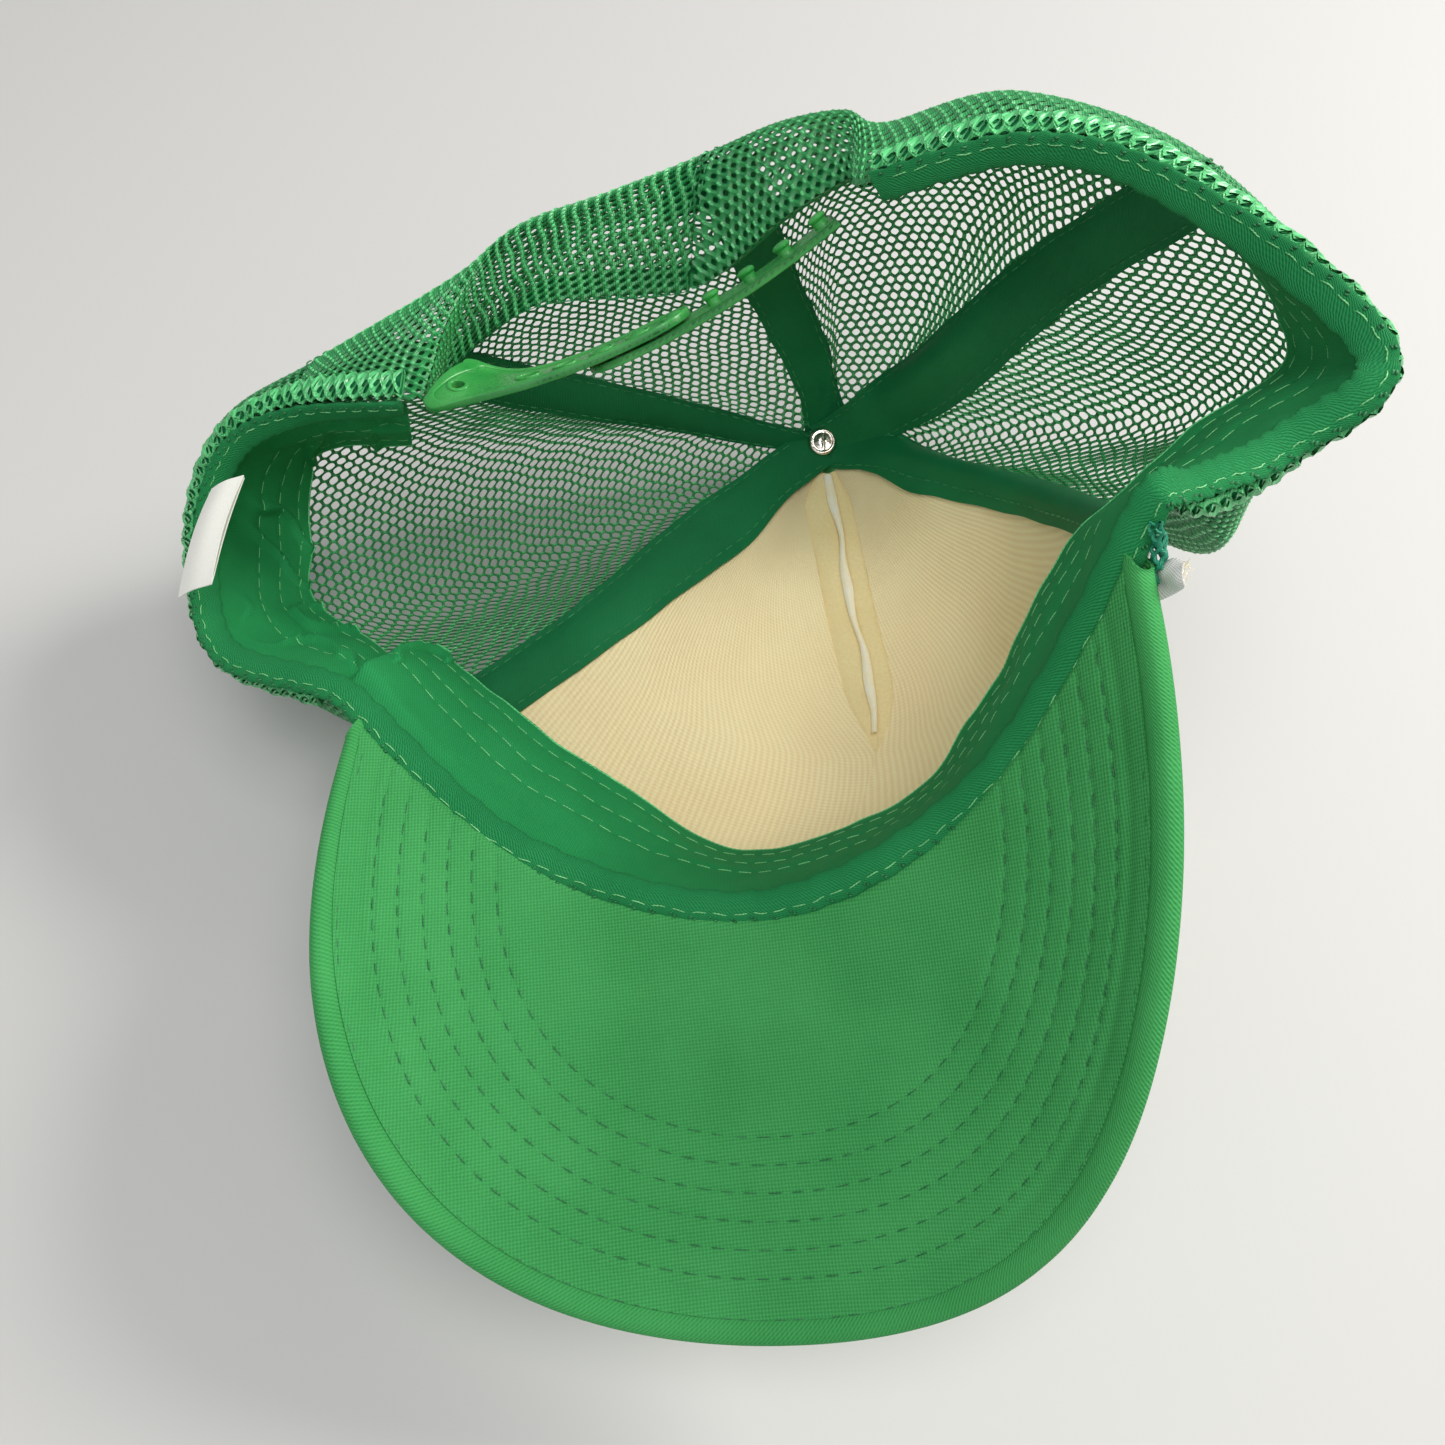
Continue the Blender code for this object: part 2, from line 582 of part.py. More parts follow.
def make_rope(mat):
    """Braided cord along the seam between the brim and the front panel, under the brim."""
    below = -(BRIM_BOARD / 2 + GAP + BRIM_COVER + 2 * GAP + ROPE_RADIUS)
    path = [brim_point(s, brim_inner(s) + 0.0010, below)
            for s in np.linspace(-1, 1, 31) * (BRIM_HALF_CHORD - 0.004)]
    tips = [[brim_point(side * (BRIM_HALF_CHORD + 0.0035), 0.0005, 0.0005),
             brim_point(side * (BRIM_HALF_CHORD + 0.0015), 0.0015, -0.0025)] for side in (-1, 1)]
    tube("brim_rope", mat, [*tips[0], *path, *reversed(tips[1])], ROPE_RADIUS, 8)


# ---- Button, snap strap and label -------------------------------------------------------


def make_button(button_mat, rivet_mat):
    """Covered button outside the crown, and the rivet head that holds it, inside."""
    centre = crown(0, 1.0)
    axis = BUTTON_AXIS
    outside = MESH / 2 + LINING + FOAM + FACE_FABRIC + 3 * GAP
    profile = [(0, -outside), (BUTTON_RADIUS * 0.75, -outside), (BUTTON_RADIUS, -outside - 0.0010),
               (BUTTON_RADIUS * 0.9, -outside - 0.0024), (BUTTON_RADIUS * 0.5, -outside - BUTTON_HEIGHT),
               (0, -outside - BUTTON_HEIGHT)]
    turned("crown_button", button_mat, profile, centre, axis)
    inside = 0.0032
    profile = [(0, -outside + GAP), (SHANK_RADIUS, -outside + GAP), (SHANK_RADIUS, inside),
               (RIVET_RADIUS, inside), (RIVET_RADIUS * 0.94, inside + 0.0009),
               (RIVET_RADIUS * 0.70, inside + 0.0015), (RIVET_RADIUS * 0.45, inside + 0.0013),
               (0, inside + 0.0008)]
    turned("button_rivet", rivet_mat, profile, centre, axis)


STRAP_LEFT_ROOT = np.array([-0.0520, 0.0525, 0.0795])
STRAP_RIGHT_ROOT = np.array([0.0325, 0.0620, 0.1240])
STRAP_BOW = np.array([0.003, -0.006, -0.002])          # how the middle hangs off the straight line
STRAP_DOWN = unit(np.array([0.03, 0.76, -0.65]))       # across the band, away from the rim
STRAP_TIP_LEFT = 0.637                                 # where each half ends, from left to right
STRAP_TIP_RIGHT = 0.385


def strap_line(part, off=0.0):
    """Rim-side edge of the band; part runs from the left root to the right root."""
    base = STRAP_LEFT_ROOT + part * (STRAP_RIGHT_ROOT - STRAP_LEFT_ROOT)
    base = base + 4 * part * (1 - part) * STRAP_BOW
    ahead = STRAP_RIGHT_ROOT - STRAP_LEFT_ROOT + 4 * (1 - 2 * part) * STRAP_BOW
    out = unit(np.cross(STRAP_DOWN, ahead))
    return base + off * (-out), -out


def strap_band(name, mat, first, last, off, root, round_end):
    """A flat band with one rounded end, curved along the strap line."""
    low, high = [], []
    parts = np.linspace(first, last, 17)
    length = np.linalg.norm(STRAP_RIGHT_ROOT - STRAP_LEFT_ROOT)
    for part in parts:
        from_end = abs(part - round_end) * length
        half = STRAP_WIDTH / 2
        if from_end < half:
            half = max(math.sqrt(half**2 - (half - from_end) ** 2), 0.003)
        for side, layer in ((off, low), (off + STRAP_THICKNESS, high)):
            base, _ = strap_line(part, side)
            layer.append([base + STRAP_DOWN * (STRAP_WIDTH / 2 + half * across) for across in (-1, 0, 1)])
    return slab(name, mat, np.array(low), np.array(high), origin=root)


def stud_parts():
    """Where the studs sit along the strap; the first ones are in the left half's holes."""
    length = np.linalg.norm(STRAP_RIGHT_ROOT - STRAP_LEFT_ROOT)
    return [STRAP_TIP_RIGHT + 0.04 + k * STUD_PITCH / length for k in range(STUD_COUNT)]


def stud(part, off, radius, height):
    base, out = strap_line(part, off)
    centre = base + STRAP_DOWN * STRAP_WIDTH / 2
    profile = [(0, 0), (radius, 0), (radius, height * 0.75), (radius * 0.7, height), (0, height)]
    return centre, out, profile


def make_strap(mat):
    """Left half with holes, outside; right half with studs, inside."""
    left_off = STRAP_THICKNESS + 2 * GAP
    left = strap_band("strap_left", mat, 0.02, STRAP_TIP_LEFT, left_off, STRAP_LEFT_ROOT, STRAP_TIP_LEFT)
    right = strap_band("strap_right", mat, STRAP_TIP_RIGHT, 0.98, 0.0, STRAP_RIGHT_ROOT, STRAP_TIP_RIGHT)
    length = np.linalg.norm(STRAP_RIGHT_ROOT - STRAP_LEFT_ROOT)
    first = stud_parts()[0]
    for k in range(-3, 3):
        centre, out, _ = stud(first + k * STUD_PITCH / length, left_off, HOLE_RADIUS, 0)
        profile = [(0, -0.002), (HOLE_RADIUS, -0.002), (HOLE_RADIUS, 0.004), (0, 0.004)]
        boolean(left, turned("hole", mat, profile, centre, out, 12), "DIFFERENCE")
    for part in stud_parts():
        centre, out, profile = stud(part, STRAP_THICKNESS - 0.0004, STUD_RADIUS, STUD_HEIGHT + 0.0004)
        boolean(right, turned("stud", mat, profile, centre, out, 12), "UNION")


LABEL_ROOT = (np.array([-0.0979, 0.0454, 0.0660]), np.array([-0.0907, 0.0470, 0.0690]))
LABEL_TIP = (np.array([-0.1023, 0.0214, 0.0610]), np.array([-0.0942, 0.0217, 0.0660]))


def make_label(mat):
    """Small folded label that is sewn in at the rim and lies out over it."""
    grid = []
    for part in np.linspace(0, 1, 5):
        lift = np.array([0.0, 0.0, 0.003]) * math.sin(part * math.pi)
        grid.append([LABEL_ROOT[k] * (1 - part) + LABEL_TIP[k] * part + lift for k in (0, 1)])
    grid = np.array(grid)
    half = grid_normals(grid) * LABEL_THICKNESS / 2
    slab("care_label", mat, grid - half, grid + half, origin=(LABEL_ROOT[0] + LABEL_ROOT[1]) / 2)


# ---- The whole cap ----------------------------------------------------------------------


def main():
    for obj in list(bpy.data.objects):
        bpy.data.objects.remove(obj)
    green_mesh = material("green_mesh", (0.02, 0.30, 0.08), 0.35)
    dark_tape = material("dark_tape", (0.005, 0.09, 0.03), 0.8)
    twill = material("twill", (0.012, 0.20, 0.06), 0.75)
    binding = material("binding", (0.01, 0.17, 0.05), 0.75)
    canvas = material("canvas", (0.04, 0.36, 0.10), 0.8)
    brim_top = material("brim_top", (0.04, 0.33, 0.09), 0.75)
    board = material("board", (0.55, 0.55, 0.52), 0.6)
    rope = material("rope", (0.005, 0.30, 0.16), 0.45)
    white = material("white_fabric", (0.82, 0.80, 0.78), 0.8)
    foam = material("foam", (0.75, 0.58, 0.25), 0.9)
    scrim = material("scrim", (0.80, 0.66, 0.42), 0.7)
    thread = material("white_thread", (0.88, 0.86, 0.80), 0.8)
    plastic = material("strap_plastic", (0.05, 0.38, 0.06), 0.3)
    metal = material("rivet_metal", (0.75, 0.72, 0.68), 0.2, 1.0)
    paper = material("label_fabric", (0.85, 0.85, 0.80), 0.8)
    make_mesh_panels(green_mesh)
    make_front(white, foam, scrim, thread)
    make_tapes(dark_tape)
    make_sweatband(twill, binding)
    make_mesh_hems(green_mesh)
    make_arch_binding(binding)
    make_brim(canvas, brim_top, board)
    make_rope(rope)
    make_button(brim_top, metal)
    make_strap(plastic)
    make_label(paper)


main()
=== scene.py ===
"""Looks of the trucker cap: cloth, net, stitching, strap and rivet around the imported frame.

The crown and the brim are the design's own surfaces, repeated here so that every piece of
cloth lies where its CAD solid lies. Metres, +Z up, cap lying on its crown.
"""
import math

import bmesh
import bpy
import numpy as np
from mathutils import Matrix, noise


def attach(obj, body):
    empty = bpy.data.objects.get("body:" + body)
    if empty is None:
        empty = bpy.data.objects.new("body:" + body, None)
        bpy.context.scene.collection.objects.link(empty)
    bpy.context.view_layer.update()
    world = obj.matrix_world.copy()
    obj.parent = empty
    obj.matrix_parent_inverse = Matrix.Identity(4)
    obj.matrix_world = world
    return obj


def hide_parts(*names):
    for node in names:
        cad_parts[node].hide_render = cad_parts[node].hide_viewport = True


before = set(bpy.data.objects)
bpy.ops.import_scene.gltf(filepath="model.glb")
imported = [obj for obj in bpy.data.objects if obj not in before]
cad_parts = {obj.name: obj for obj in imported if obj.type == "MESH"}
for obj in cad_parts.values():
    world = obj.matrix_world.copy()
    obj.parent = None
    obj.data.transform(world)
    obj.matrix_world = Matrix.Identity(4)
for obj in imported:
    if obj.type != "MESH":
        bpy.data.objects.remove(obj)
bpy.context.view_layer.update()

MM = 0.001
PLACE = np.array([-0.00407, 0.0002, -0.00071])     # from the design's own numbers to the frame
TAU = 2 * math.pi
RNG = np.random.default_rng(7)

# ---- Camera, floor and light ------------------------------------------------------------

CAMERA_PLACE = (0.0059, -0.1459, 0.3095)
CAMERA_TILT = math.radians(29)
CAMERA_LENS = 36.1
FLOOR_HALF = 3.0
FLOOR_COLOUR = (0.56, 0.555, 0.545, 1)
WORLD_COLOUR = (0.95, 0.97, 1.0, 1)
WORLD_STRENGTH = 0.38
LAMPS = [  # name, place, size, watts, colour
    ("key", (0.75, 0.35, 0.70), 0.45, 9.6, (1.0, 0.97, 0.92)),
    ("fill", (-0.5, -0.7, 0.7), 0.9, 1.6, (0.93, 0.97, 1.0)),
    ("top", (0.10, -0.25, 1.10), 0.7, 6.4, (1.0, 0.99, 0.96)),
]
LAMP_TARGET = (0, 0, 0.05)


def make_camera():
    data = bpy.data.cameras.new("camera")
    data.lens = CAMERA_LENS
    data.sensor_width = 36
    data.clip_start = 0.01
    camera = bpy.data.objects.new("camera", data)
    camera.location = CAMERA_PLACE
    camera.rotation_euler = (CAMERA_TILT, 0, 0)
    bpy.context.scene.collection.objects.link(camera)
    bpy.context.scene.camera = camera


def aim(obj, target):
    """Turns a lamp so that it shines at a point."""
    way = np.array(target) - np.array(obj.location)
    length = np.linalg.norm(way)
    obj.rotation_euler = (math.acos(-way[2] / length), 0, math.atan2(way[1], way[0]) - math.pi / 2)


def make_lamp(name, place, size, watts, colour):
    data = bpy.data.lights.new(name, "AREA")
    data.shape = "DISK"
    data.size = size
    data.energy = watts
    data.color = colour
    lamp = bpy.data.objects.new(name, data)
    lamp.location = place
    aim(lamp, LAMP_TARGET)
    bpy.context.scene.collection.objects.link(lamp)


def make_stage():
    corners = [(x * FLOOR_HALF, y * FLOOR_HALF, 0) for x, y in ((-1, -1), (1, -1), (1, 1), (-1, 1))]
    mesh = bpy.data.meshes.new("floor")
    mesh.from_pydata(corners, [], [(0, 1, 2, 3)])
    floor = bpy.data.objects.new("floor", mesh)
    bpy.context.scene.collection.objects.link(floor)
    mat = bpy.data.materials.new("floor")
    mat.use_nodes = True
    shader = mat.node_tree.nodes["Principled BSDF"]
    shader.inputs["Base Color"].default_value = FLOOR_COLOUR
    shader.inputs["Roughness"].default_value = 0.75
    mesh.materials.append(mat)
    world = bpy.data.worlds.new("studio")
    bpy.context.scene.world = world
    world.use_nodes = True
    background = world.node_tree.nodes["Background"]
    background.inputs["Color"].default_value = WORLD_COLOUR
    background.inputs["Strength"].default_value = WORLD_STRENGTH
    for lamp in LAMPS:
        make_lamp(*lamp)
    bpy.context.scene.view_settings.view_transform = "Standard"


# ---- The brim: a flat pattern (s across, q forward), bent about its forward axis --------

BRIM_HALF_CHORD = 0.086
BRIM_INNER_SAG = 0.0492
BRIM_INNER_POWER = 1.957
BRIM_HALF_WIDTH = 0.087
BRIM_DEPTH = 0.121
BRIM_WIDEST = 0.033
BRIM_OUTLINE_POWER = 2.07
BRIM_BEND = 10.6
BRIM_BEND_GROWTH = 38.0
BRIM_TWIST = 2.64
BRIM_BOARD = 2.0 * MM
BRIM_COVER = 0.6 * MM
BRIM_EDGE_BAND = 4.5 * MM
BRIM_STANDOFF = 4.5 * MM
BRIM_ORIGIN = np.array([0.0137, -0.0035, 0.0729])
BRIM_MIDDLE = 0.06


def unit(vectors):
    return vectors / np.maximum(np.linalg.norm(vectors, axis=-1, keepdims=True), 1e-12)


BRIM_FORWARD = np.array([0.076, -0.952, -0.298])
BRIM_ACROSS = np.array([-0.938, 0.033, -0.346])
BRIM_ACROSS = unit(BRIM_ACROSS - BRIM_FORWARD * (BRIM_ACROSS @ BRIM_FORWARD) / (BRIM_FORWARD @ BRIM_FORWARD))
BRIM_FORWARD = unit(BRIM_FORWARD)
BRIM_UP = np.cross(BRIM_ACROSS, BRIM_FORWARD)


def run_lengths(points):
    return np.concatenate([[0], np.cumsum(np.linalg.norm(np.diff(points, axis=0), axis=1))])


def smooth(low, high, value):
    t = np.clip((np.asarray(value, float) - low) / (high - low), 0, 1)
    return t * t * (3 - 2 * t)


def brim_bent(s, q):
    s, q = np.broadcast_arrays(np.asarray(s, float), np.asarray(q, float))
    bend = BRIM_BEND + BRIM_BEND_GROWTH * (q - BRIM_MIDDLE)
    across = np.sin(s * bend) / bend
    rise = (1 - np.cos(s * bend)) / bend + BRIM_TWIST * s * (q - BRIM_MIDDLE)
    return (BRIM_ORIGIN + across[..., None] * BRIM_ACROSS + q[..., None] * BRIM_FORWARD
            + rise[..., None] * BRIM_UP)


def brim_normal(s, q):
    step = 0.001
    along_s = brim_bent(s + step, q) - brim_bent(s - step, q)
    along_q = brim_bent(s, q + step) - brim_bent(s, q - step)
    return unit(np.cross(along_s, along_q))


def brim_point(s, q, off=0.0):
    """Points of the brim; off is measured from the board's middle towards the underside."""
    return brim_bent(s, q) + np.asarray(off)[..., None] * brim_normal(s, q)


def brim_inner(s):
    return BRIM_INNER_SAG * (1 - np.abs(np.asarray(s) / BRIM_HALF_CHORD) ** BRIM_INNER_POWER)


def brim_outline(turn):
    """Outline points in the pattern; turn runs from -1, one corner, over 0, the front, to 1."""
    turn = np.asarray(turn, float)
    side, left = np.abs(turn), np.where(turn >= 0, 1, -1)
    corner_s, corner_q, straight = BRIM_HALF_CHORD - 0.002, 0.004, 0.2
    part = np.clip((1 - side) / straight, 0, 1)
    angle = np.clip((1 - side / (1 - straight)) * math.pi / 2, 0, None)
    power = 2 / BRIM_OUTLINE_POWER
    s = np.where(side > 1 - straight, corner_s + (BRIM_HALF_WIDTH - corner_s) * (1 - (1 - part) ** 2),
                 BRIM_HALF_WIDTH * np.cos(angle) ** power)
    q = np.where(side > 1 - straight, corner_q + (BRIM_WIDEST - corner_q) * part,
                 BRIM_WIDEST + (BRIM_DEPTH - BRIM_WIDEST) * np.sin(angle) ** power)
    return np.stack([left * s, q], -1)


def rim_at_brim(s):
    return brim_bent(s, brim_inner(s) - BRIM_STANDOFF)


# ---- The crown: ribs from the rim to the button -----------------------------------------

BUTTON = (0.0366, 0.1043, 0.0100)
BUTTON_AXIS = unit(np.array([-0.10, -0.42, 0.90]))
RIBS = [  # name, rim point or place along the brim, three more points towards the button; in mm
    ("front", 0, (30, -20, 12), (46, 12, 9), (42, 56, 9)),
    ("front_r", -47, (70, -12, 40), (71, 29, 23), (55, 64, 15)),
    ("seam_front_right", -86, (82, 16, 94), (78, 53, 54), (60, 82, 28)),
    ("side_r1", (82, -10, 138), (96, 6, 99), (88, 48, 61), (64, 81, 31)),
    ("side_r2", (96, -2, 138), (106, 25, 96), (97, 57, 59), (70, 83, 30)),
    ("side_r3", (108, 9, 147), (121, 38, 113), (111, 67, 69), (76, 91, 34)),
    ("seam_rear_right", (84, 51, 142), (99, 71, 126), (83, 93, 83), (62, 97, 49)),
    ("rear_r1", (61, 61, 141), (66, 89, 129), (66, 114, 85), (55, 110, 40)),
    ("root_right", (36, 66, 128), (42, 96, 117), (41, 117, 79), (42, 113, 37)),
    ("arch_foot_right", (35, 83, 115), (34, 102, 115), (34, 117, 75), (39, 113, 36)),
    ("arch_right", (22, 85, 103), (22, 105, 110), (29, 117, 66), (38, 113, 32)),
    ("seam_rear", (3, 87, 82), (8, 105, 103), (23, 117, 56), (35, 113, 26)),
    ("arch_left", (-30, 82, 82), (-12, 100, 97), (10, 114, 53), (30, 112, 24)),
    ("arch_foot_left", (-51, 75, 69), (-30, 96, 93), (-2, 111, 51), (25, 110, 22)),
    ("root_left", (-54, 58, 80), (-44, 90, 85), (-16, 107, 49), (19, 108, 21)),
    ("seam_rear_left", (-80, 61, 73), (-75, 82, 68), (-39, 97, 42), (2, 105, 21)),
    ("side_l3", (-97, 58, 64), (-102, 77, 50), (-66, 89, 26), (-9, 102, 15)),
    ("side_l2", (-104, 43, 51), (-111, 54, 29), (-71, 66, 12), (-12, 93, 10)),
    ("side_l1", (-95, 15, 51), (-95, 34, 18), (-61, 52, 6), (-9, 81, 8)),
    ("seam_front_left", 86, (-60, 13, 16), (-24, 48, 6), (7, 79, 7)),
    ("front_l", 47, (-20, -8, 9), (2, 22, 6), (18, 62, 7)),
]
RIB = {rib[0]: number for number, rib in enumerate(RIBS)}
NET = np.array([[rim_at_brim(rib[1] * MM) if isinstance(rib[1], (int, float)) else np.array(rib[1]) * MM,
                 *(np.array(point) * MM for point in rib[2:]), BUTTON] for rib in RIBS])
COUNT = len(RIBS)
SPANS = NET.shape[1] - 1
EASE = np.ones(COUNT)
EASE[RIB["seam_front_right"]] = 0.45
EASE[RIB["seam_front_left"]] = 0.6


def rib_slopes():
    slopes = np.empty_like(NET)
    slopes[:, 1:-1] = (NET[:, 2:] - NET[:, :-2]) * SPANS / 2
    slopes[:, 0] = 1.5 * (NET[:, 1] - NET[:, 0]) * SPANS - 0.5 * slopes[:, 1]
    slopes[:, -1] = 1.5 * (NET[:, -1] - NET[:, -2]) * SPANS - 0.5 * slopes[:, -2]
    slopes[:, -1] -= (slopes[:, -1] @ BUTTON_AXIS)[:, None] * BUTTON_AXIS
    return slopes


SLOPES = rib_slopes()


def cubic(start, end, leave, arrive, t):
    t = t[..., None]
    return ((2 * t**3 - 3 * t**2 + 1) * start + (t**3 - 2 * t**2 + t) * leave
            + (3 * t**2 - 2 * t**3) * end + (t**3 - t**2) * arrive)


def rib_point(rib, v):
    rib = rib % COUNT
    span = np.clip((v * SPANS).astype(int), 0, SPANS - 1)
    return cubic(NET[rib, span], NET[rib, span + 1], SLOPES[rib, span] / SPANS,
                 SLOPES[rib, span + 1] / SPANS, v * SPANS - span)


def crown(u, v):
    """Crown surface: u counts ribs round the rim, v runs from the rim, 0, to the button, 1."""
    u, v = np.broadcast_arrays(np.asarray(u, float), np.asarray(v, float))
    first = np.floor(u).astype(int)
    before, start, end, after = [rib_point(first + k, v) for k in (-1, 0, 1, 2)]
    leave = EASE[first % COUNT][..., None] * (end - before) / 2
    arrive = EASE[(first + 1) % COUNT][..., None] * (after - start) / 2
    return cubic(start, end, leave, arrive, u - first)


def crown_frame(u, v):
    """Unit vectors round the rim, towards the button and outwards, and metres per u."""
    u, v = np.broadcast_arrays(np.asarray(u, float), np.asarray(v, float))
    low, high = np.maximum(v - 0.004, 0), np.minimum(v + 0.004, 0.999)
    around = (crown(u + 0.05, v) - crown(u - 0.05, v)) / 0.1
    down = unit(crown(u, high) - crown(u, low))
    return unit(around), down, unit(np.cross(down, around)), np.linalg.norm(around, axis=-1)


def crown_at(u, v, off=0.0):
    return crown(u, v) + np.asarray(off)[..., None] * crown_frame(u, v)[2]


SEAMS = {"front_right": RIB["seam_front_right"], "rear_right": RIB["seam_rear_right"],
         "rear_centre": RIB["seam_rear"], "rear_left": RIB["seam_rear_left"],
         "front_left": RIB["seam_front_left"]}
RIM_LEFT_END = RIB["root_left"] - COUNT + 0.12
RIM_RIGHT_END = RIB["root_right"] - 0.12


class Gore:
    """A crown panel as a flat piece of cloth: x round the crown from the panel's middle, y up
    from the rim, both in metres, mapped to u and v by lengths measured on the crown."""

    def __init__(self, first, last, rows=90, columns=61):
        self.v = np.linspace(0.0, 0.985, rows)
        self.u = np.linspace(first, last, columns)
        points = crown(self.u[None, :], self.v[:, None])
        middle = columns // 2
        self.length = run_lengths(points[:, middle])
        steps = np.linalg.norm(np.diff(points, axis=1), axis=2)
        across = np.concatenate([np.zeros((rows, 1)), np.cumsum(steps, axis=1)], axis=1)
        self.across = across - across[:, middle:middle + 1]
        self.width = across[:, -1].max()

    def place(self, x, y):
        """u, v and whether the point is inside the panel; points outside go to its seam."""
        row = np.interp(y, self.length, np.arange(len(self.v)))
        v = np.interp(y, self.length, self.v)
        low = np.clip(row.astype(int), 0, len(self.v) - 2)
        part = row - low
        table = self.across[low] * (1 - part)[:, None] + self.across[low + 1] * part[:, None]
        inside = (x > table[:, 0]) & (x < table[:, -1]) & (y >= 0) & (y < self.length[-1])
        x = np.clip(x, table[:, 0], table[:, -1])
        column = np.clip((table < x[:, None]).sum(1) - 1, 0, len(self.u) - 2)
        each = np.arange(len(x))
        left, right = table[each, column], table[each, column + 1]
        share = np.clip((x - left) / np.maximum(right - left, 1e-9), 0, 1)
        return self.u[column] + share * (self.u[1] - self.u[0]), v, inside


# ---- Materials --------------------------------------------------------------------------


class Nodes:
    """A material with its Principled shader and short ways to add nodes to it."""

    def __init__(self, name, roughness, metallic=0.0):
        self.mat = bpy.data.materials.new(name)
        self.mat.use_nodes = True
        self.tree = self.mat.node_tree
        self.shader = self.tree.nodes["Principled BSDF"]
        self.set("Roughness", roughness)
        self.set("Metallic", metallic)

    def set(self, socket, value):
        self.shader.inputs[socket].default_value = value

    def link(self, output, socket):
        self.tree.links.new(output, self.shader.inputs[socket])

    def add(self, kind, **values):
        node = self.tree.nodes.new(kind)
        for key, value in values.items():
            setattr(node, key, value)
        return node

    def feed(self, socket, value):
        if isinstance(value, bpy.types.NodeSocket):
            self.tree.links.new(value, socket)
        else:
            socket.default_value = value

    def math(self, operation, a, b=0.0):
        node = self.add("ShaderNodeMath", operation=operation)
        self.feed(node.inputs[0], a)
        self.feed(node.inputs[1], b)
        return node.outputs[0]

    def blend(self, a, share_a, b, share_b):
        return self.math("ADD", self.math("MULTIPLY", a, share_a), self.math("MULTIPLY", b, share_b))

    def coordinates(self, turn=0.0):
        """x and y over the cloth in metres, turned by an angle."""
        uv = self.add("ShaderNodeUVMap", uv_map="cloth")
        mapping = self.add("ShaderNodeMapping")
        mapping.inputs["Rotation"].default_value = (0, 0, turn)
        self.tree.links.new(uv.outputs["UV"], mapping.inputs["Vector"])
        split = self.add("ShaderNodeSeparateXYZ")
        self.tree.links.new(mapping.outputs["Vector"], split.inputs[0])
        return split.outputs["X"], split.outputs["Y"]

    def wave(self, position, pitch):
        """0 to 1 and back once in each pitch."""
        sine = self.math("SINE", self.math("MULTIPLY", position, TAU / pitch))
        return self.math("ADD", self.math("MULTIPLY", sine, 0.5), 0.5)

    def noise(self, scale, detail=3.0):
        place = self.add("ShaderNodeTexCoord")
        node = self.add("ShaderNodeTexNoise")
        node.inputs["Scale"].default_value = scale
        node.inputs["Detail"].default_value = detail
        self.tree.links.new(place.outputs["Object"], node.inputs["Vector"])
        return node.outputs["Fac"]

    def mix(self, share, low, high):
        node = self.add("ShaderNodeMix", data_type="RGBA")
        self.feed(node.inputs["Factor"], share)
        for socket, value in ((node.inputs[6], low), (node.inputs[7], high)):
            self.feed(socket, (*value, 1) if isinstance(value, tuple) else value)
        return node.outputs[2]

    def spread(self, value, low, high):
        node = self.add("ShaderNodeMapRange")
        self.feed(node.inputs["Value"], value)
        node.inputs["From Min"].default_value = low
        node.inputs["From Max"].default_value = high
        return node.outputs["Result"]

    def bump(self, height, depth, strength=0.7):
        node = self.add("ShaderNodeBump")
        node.inputs["Strength"].default_value = strength
        node.inputs["Distance"].default_value = depth
        self.feed(node.inputs["Height"], height)
        self.link(node.outputs["Normal"], "Normal")


def cloth(name, colour, shade, pattern, pitch, depth, roughness=0.8, sheen=0.06, turn=0.0, mottle=0.4):
    """Woven cloth: colour on the yarns, shade between them. pattern is plain, twill or ribs."""
    n = Nodes(name, roughness)
    n.set("Sheen Weight", sheen)
    n.set("Sheen Roughness", 0.4)
    n.set("Sheen Tint", (*colour, 1))
    n.set("Specular IOR Level", 0.25)
    x, y = n.coordinates(turn)
    if pattern == "plain":
        sines = [n.math("SINE", n.math("MULTIPLY", way, TAU / pitch)) for way in (x, y)]
        height = n.math("ADD", n.math("MULTIPLY", n.math("MULTIPLY", *sines), 0.5), 0.5)
    elif pattern == "twill":
        diagonal = n.wave(n.math("ADD", x, y), pitch)
        height = n.blend(diagonal, 0.75, n.wave(x, pitch), 0.25)
    else:
        knots = n.wave(n.math("ADD", y, n.math("MULTIPLY", x, 0.35)), pitch * 0.75)
        height = n.blend(n.wave(x, pitch), 0.65, knots, 0.35)
    fuzz = n.noise(2500.0, 2.0)
    height = n.math("ADD", height, n.math("MULTIPLY", fuzz, 0.5))
    share = n.spread(height, 0.2, 1.2)
    base = n.mix(share, shade, colour)
    worn = n.spread(n.noise(55.0, 4.0), 0.35, 0.70)
    faded = tuple(min(c * 1.22 + 0.012, 1.0) for c in colour)
    base = n.mix(n.math("MULTIPLY", worn, mottle), base, n.mix(share, colour, faded))
    n.link(base, "Base Color")
    n.bump(height, depth)
    return n.mat


